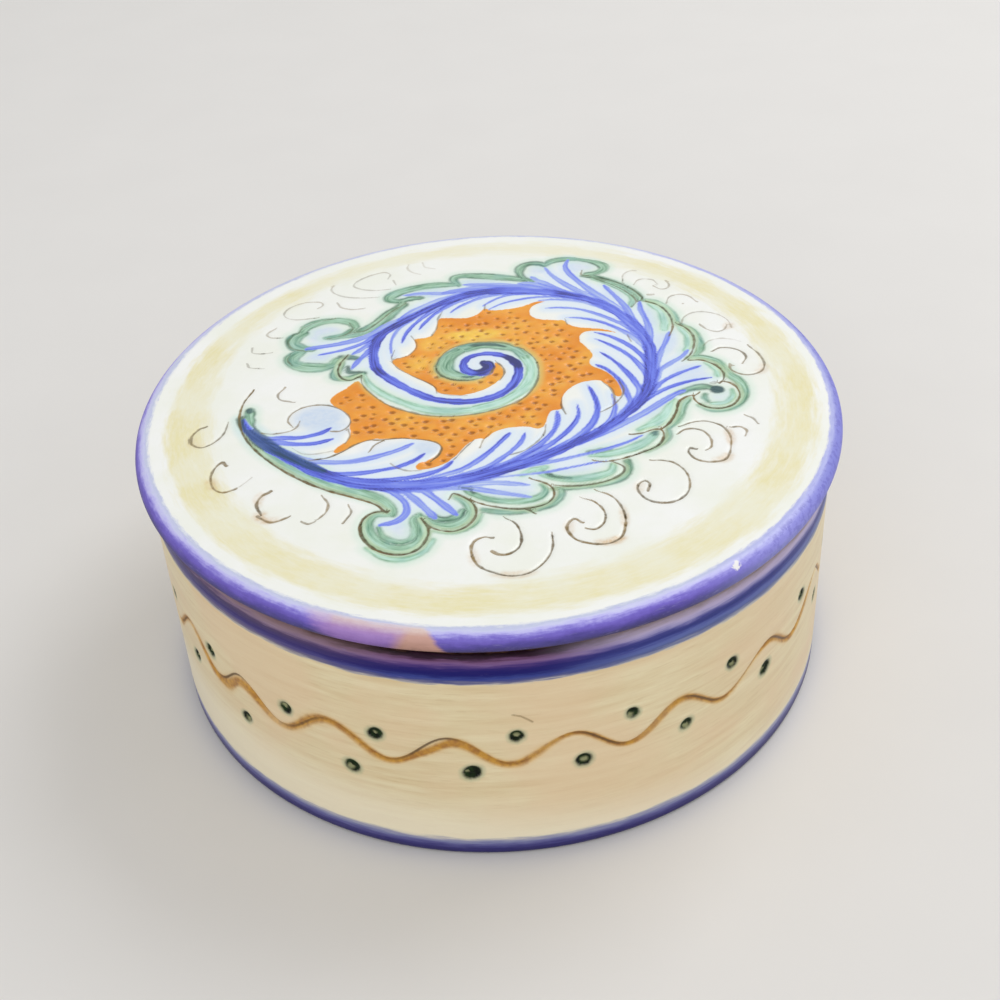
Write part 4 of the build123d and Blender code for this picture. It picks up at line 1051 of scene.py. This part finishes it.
cupPoints = np.vstack([outer, inside, foot, [(0, 0, cup["floor"]), (0, 0, footRecess)]])
insideStart = len(outer)
footStart = insideStart + len(inside)
floorPole, footPole = len(cupPoints) - 2, len(cupPoints) - 1
rows = len(outerLine)
outerFaces = ringFaces(0, rows, fineCount)
ring = np.arange(fineCount)
insideFaces = [fourToOne((rows - 1) * fineCount + ring, insideStart)]
insideFaces += ringFaces(insideStart, len(insideLine), coarseCount, floorPole)
footFaces = [fourToOne(ring, footStart), *ringFaces(footStart, len(footLine), coarseCount, footPole)]
cupFaces = [group[:, ::-1] for group in outerFaces + insideFaces] + footFaces
wallGroups = rows - len(rimArc) - 2  # the matt paint begins at the second row below the rounding
cupSlots = [0] * wallGroups + [3] * (rows - 1 - wallGroups) + [1] * len(insideFaces) + [2] * len(footFaces)
cupSlots = [np.full(len(group), slot) for group, slot in zip(cupFaces, cupSlots)]
for i in range(wallGroups):
    cupSlots[i] = np.where(dotOff[cupFaces[i]].max(1) < 0.95, 3, 0)  # the paint in the dots is matt too

away = {"waveOff": waveOff, "brushOff": brushOff, "dotOff": dotOff, "slipEdge": slipEdge}
inks = {"dotShine": dotShine, "brushLoad": brushLoad, "waveInk": waveInk}
rest = np.full(len(cupPoints) - len(outer), 3.0)
cupFields = {key: np.append(values, rest) for key, values in away.items()}
cupFields.update({key: np.append(values, 0 * rest) for key, values in inks.items()})

# cream slip under a satin glaze, banded on the wheel: level streaks, warmer where the clay shows through
wallGlaze, tree = newMaterial("cream glazed earthenware banded")
field = {key: addNode("Attribute", attribute_name=key, out="Fac") for key in cupFields}
spot, heading, _, level = surfaceSpots()
toRight = addNode("SeparateXYZ", heading)
# on a 5 mm circle, so the wheel's streaks are drawn out eleven times
streak, hairs = wheelStreaks(heading, 5, level, (0.7, 5, 0.6), (2.2, 3, 0.6))
cloud = addNode("TexNoise", Vector=spot, Scale=1 / 22, Detail=3)
grain = addNode("TexNoise", Vector=spot, Scale=1 / 1.1, Detail=3)
wobble = grain, 0.07  # ragged brush edge, mm
colour = addNode("ValToRGB", streak, stops=[(0.30, "#DBC599"), (0.70, "#EBDEB8")])
colour = coat(colour, "#CDB485", (hairs, 0.54, 0.72, 0.4))
colour = coat(colour, "#E6CAA4", (cloud, 0.44, 0.64, 0.6))
# painted reflected light: paler towards the foot, most at the left
slant = addNode("Math", toRight, 6, level, operation="MULTIPLY_ADD")
colour = coat(colour, "#F5EBD0", (slant, 14, 3.5, 0.8))

# ochre wave brushed over the scratched line, with the brown clay showing in the scratch
edge = shaken(addNode("Math", field["brushOff"], operation="ABSOLUTE"), wobble)
ochre = addNode("ValToRGB", grain, stops=[(0.35, "#A2680E"), (0.62, "#C8901F")])
colour = coat(colour, "#E0BC7C", (edge, 2.3, 0.9, 0.4))
colour = coat(colour, ochre, (edge, 1.5, 0.4), field["brushLoad"])
edge = addNode("Math", field["waveOff"], operation="ABSOLUTE")
colour = coat(colour, "#573A14", (edge, 0.34, 0.08), field["waveInk"])
colour = coat(colour, "#8E7650", (field["slipEdge"], 0.12, -0.10, 0.7))
# bottle-green dots: pale bleed, dark ring, a painted glint on the boss
edge = shaken(field["dotOff"], wobble)
green = addNode("ValToRGB", grain, stops=[(0.38, "#081006"), (0.62, "#1E3216")])
green = coat(green, "#9A9C74", (field["dotShine"], 0.15, 0.75, 0.92))
colour = coat(colour, "#7F9C78", (edge, 1.55, 0.95, 0.45))
colour = coat(colour, green, (edge, 1.12, 0.72))

# blue bands at foot and rim, laid on the wheel with a ragged brush edge
bandLevel = shaken(level, (hairs, 0.30))
band = colourAlong(
    bandLevel, 0, 4.2, (0.0, "#140A4E"), (0.31, "#1E1468"), (0.43, "#3C387E"), (0.55, "#5C5C98"),
    (0.67, "#8084AE"), (0.79, "#A4A4B8"), (0.94, "#E6DEC8"))
colour = coat(colour, band, (bandLevel, 4.2, 3.4))
# the rim's band was painted aslant: lower at the right, higher at the left
aslant = addNode("Math", toRight, toRight, operation="MULTIPLY")
aslant = addNode("Math", aslant, toRight, operation="MULTIPLY")
bandLevel = addNode("Math", aslant, 1.8, bandLevel, operation="MULTIPLY_ADD")
# at the front the top of the band turns near black: painted shade under the lid's lip
frontBand = colourAlong(
    bandLevel, 36, 42.2, (0.04, "#CCC5BC"), (0.11, "#747391"), (0.18, "#484E88"), (0.24, "#3A4690"),
    (0.32, "#20246F"), (0.40, "#1A1768"), (0.48, "#241D68"), (0.56, "#382870"), (0.645, "#5E4480"),
    (0.71, "#7D5C8C"), (0.77, "#6E4A70"), (0.84, "#32142E"), (0.91, "#1A0810"), (0.97, "#6A4A3C"))
# at the left and the right the rim was wiped thinner and the clay shows, mauve and lilac, paler at the right
# with painted light on the rim's shoulder; the dark top at the left is painted shade under the lid's lip
leftBand = colourAlong(
    bandLevel, 36, 42.2, (0.06, "#C0B8B2"), (0.13, "#7A7389"), (0.20, "#635A85"), (0.28, "#4C4480"),
    (0.36, "#3A3070"), (0.44, "#463A70"), (0.52, "#473A66"), (0.60, "#584669"), (0.67, "#86708A"),
    (0.74, "#977F8C"), (0.84, "#8E7478"), (0.94, "#4A3438"))
# at the right the upper part is pale: painted light on the rim's shoulder
rightBand = colourAlong(
    bandLevel, 36, 42.2, (0.05, "#C8C4BC"), (0.13, "#8388A4"), (0.20, "#586294"), (0.27, "#5E6CA8"),
    (0.34, "#5A66A8"), (0.42, "#404890"), (0.50, "#343A80"), (0.58, "#44468C"), (0.65, "#6D6BA8"),
    (0.73, "#A39CC8"), (0.80, "#BCB0D2"), (0.87, "#B6A8C0"), (0.97, "#9A8C90"))
band = coat(frontBand, leftBand, (toRight, -0.2, -0.6))
band = coat(band, rightBand, (toRight, 0.05, 0.42))
band = coat(band, "#8C84BE", (hairs, 0.62, 0.74, 0.3))
colour = coat(colour, band, (bandLevel, 36.15, 36.45))

skin = addNode("Math", grain, 0.35, streak, operation="MULTIPLY_ADD")
closeMaterial(colour, addNode("MapRange", streak, *usual, 0.30, 0.44), skin, 0.3, 0.35)

# the band below the lid, the rounded rim and the dots carry the same paint unglazed, which doesn't shine
mattClay = wallGlaze.copy()
mattClay.name = "washed bare clay matt"
mattClay.node_tree.nodes["Principled BSDF"].inputs["Specular IOR Level"].default_value = 0.1

# inside of the cup: plain cream glaze, bare on the rim that the lid sits on
insideGlaze, tree = newMaterial("cream glazed earthenware plain")
spot, _, _, level = surfaceSpots()
bare = addNode("MapRange", level, 41.3, 41.8, **soft)
colour, gloss, cloud, _ = plainGlaze(spot, bare, 10, 0.32, (0.35, "#E8DFC6"), (0.65, "#EFE8D5"))
closeMaterial(colour, gloss, cloud, 0.3, 0.3)

# underside: bare fired clay, gritty, with the ring marks of the turning tool
bareClay, tree = newMaterial("bare fired buff clay turned")
spot, _, radius, _ = surfaceSpots()
grit = addNode("TexNoise", Vector=spot, Scale=1 / 0.5, Detail=3)
rings = addNode("TexNoise", Vector=addNode("CombineXYZ", radius), Scale=1 / 1.6, Detail=2)
clay = addNode("ValToRGB", rings, stops=[(0.35, "#BB906B"), (0.65, "#CDA582")])
colour = coat(clay, "#8A6244", (grit, 0.62, 0.75, 0.5))
closeMaterial(colour, 0.85, addNode("Math", grit, 0.4, rings, operation="MULTIPLY_ADD"), 0.3, 0.5)

cupGlazes = [wallGlaze, insideGlaze, bareClay, mattClay]
cupPiece = makePiece("box_painted", cupPoints, cupFaces, cupFields, cupGlazes, cupSlots)
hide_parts("box_body")
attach(cupPiece, "box")
print("cup made", len(cupPoints))

# pale floor and soft studio light: each lamp's name, place, width and power
studio = {"floor": 3.0, "sky": 0.62, "aim": (0, 0, 0.03), "lamps": (
    ("key", (0.45, 0.35, 0.75), 0.5, 2.6), ("front", (-0.25, -0.85, 0.45), 0.7, 1.9),
    ("side", (0.8, -0.3, 0.4), 0.5, 0.5))}

floorMesh = bpy.data.meshes.new("floor")
size = studio["floor"]
corners = [(-size, -size, 0), (size, -size, 0), (size, size, 0), (-size, size, 0)]
floorMesh.from_pydata(corners, [], [(0, 1, 2, 3)])
floor = bpy.data.objects.new("floor", floorMesh)
scene.collection.objects.link(floor)
floorPaper, tree = newMaterial("pale matt studio paper")
mottle = addNode("TexNoise", Vector=addNode("TexCoord", out="Object"), Scale=1 / (25 * mm), Detail=2)
paper = addNode("ValToRGB", mottle, stops=[(0.0, "#E6E4E1"), (1.0, "#EAE8E5")])
addNode("OutputMaterial", addNode("BsdfPrincipled", paper, Roughness=0.9))
floorMesh.materials.append(floorPaper)

world = bpy.data.worlds.new("studio")
world.use_nodes = True
tree = world.node_tree
tree.nodes.clear()
addNode("OutputWorld", addNode("Background", linear("#FFFFFF"), studio["sky"]))
scene.world = world

for name, place, width, power in studio["lamps"]:
    lamp = bpy.data.lights.new(name, "AREA")
    lamp.size = width
    lamp.energy = power
    lampPiece = bpy.data.objects.new(name, lamp)
    lampPiece.location = place
    lampPiece.rotation_euler = (Vector(studio["aim"]) - Vector(place)).to_track_quat("-Z", "Y").to_euler()
    scene.collection.objects.link(lampPiece)
scene.view_settings.view_transform = "Standard"
print("stage and lights set")
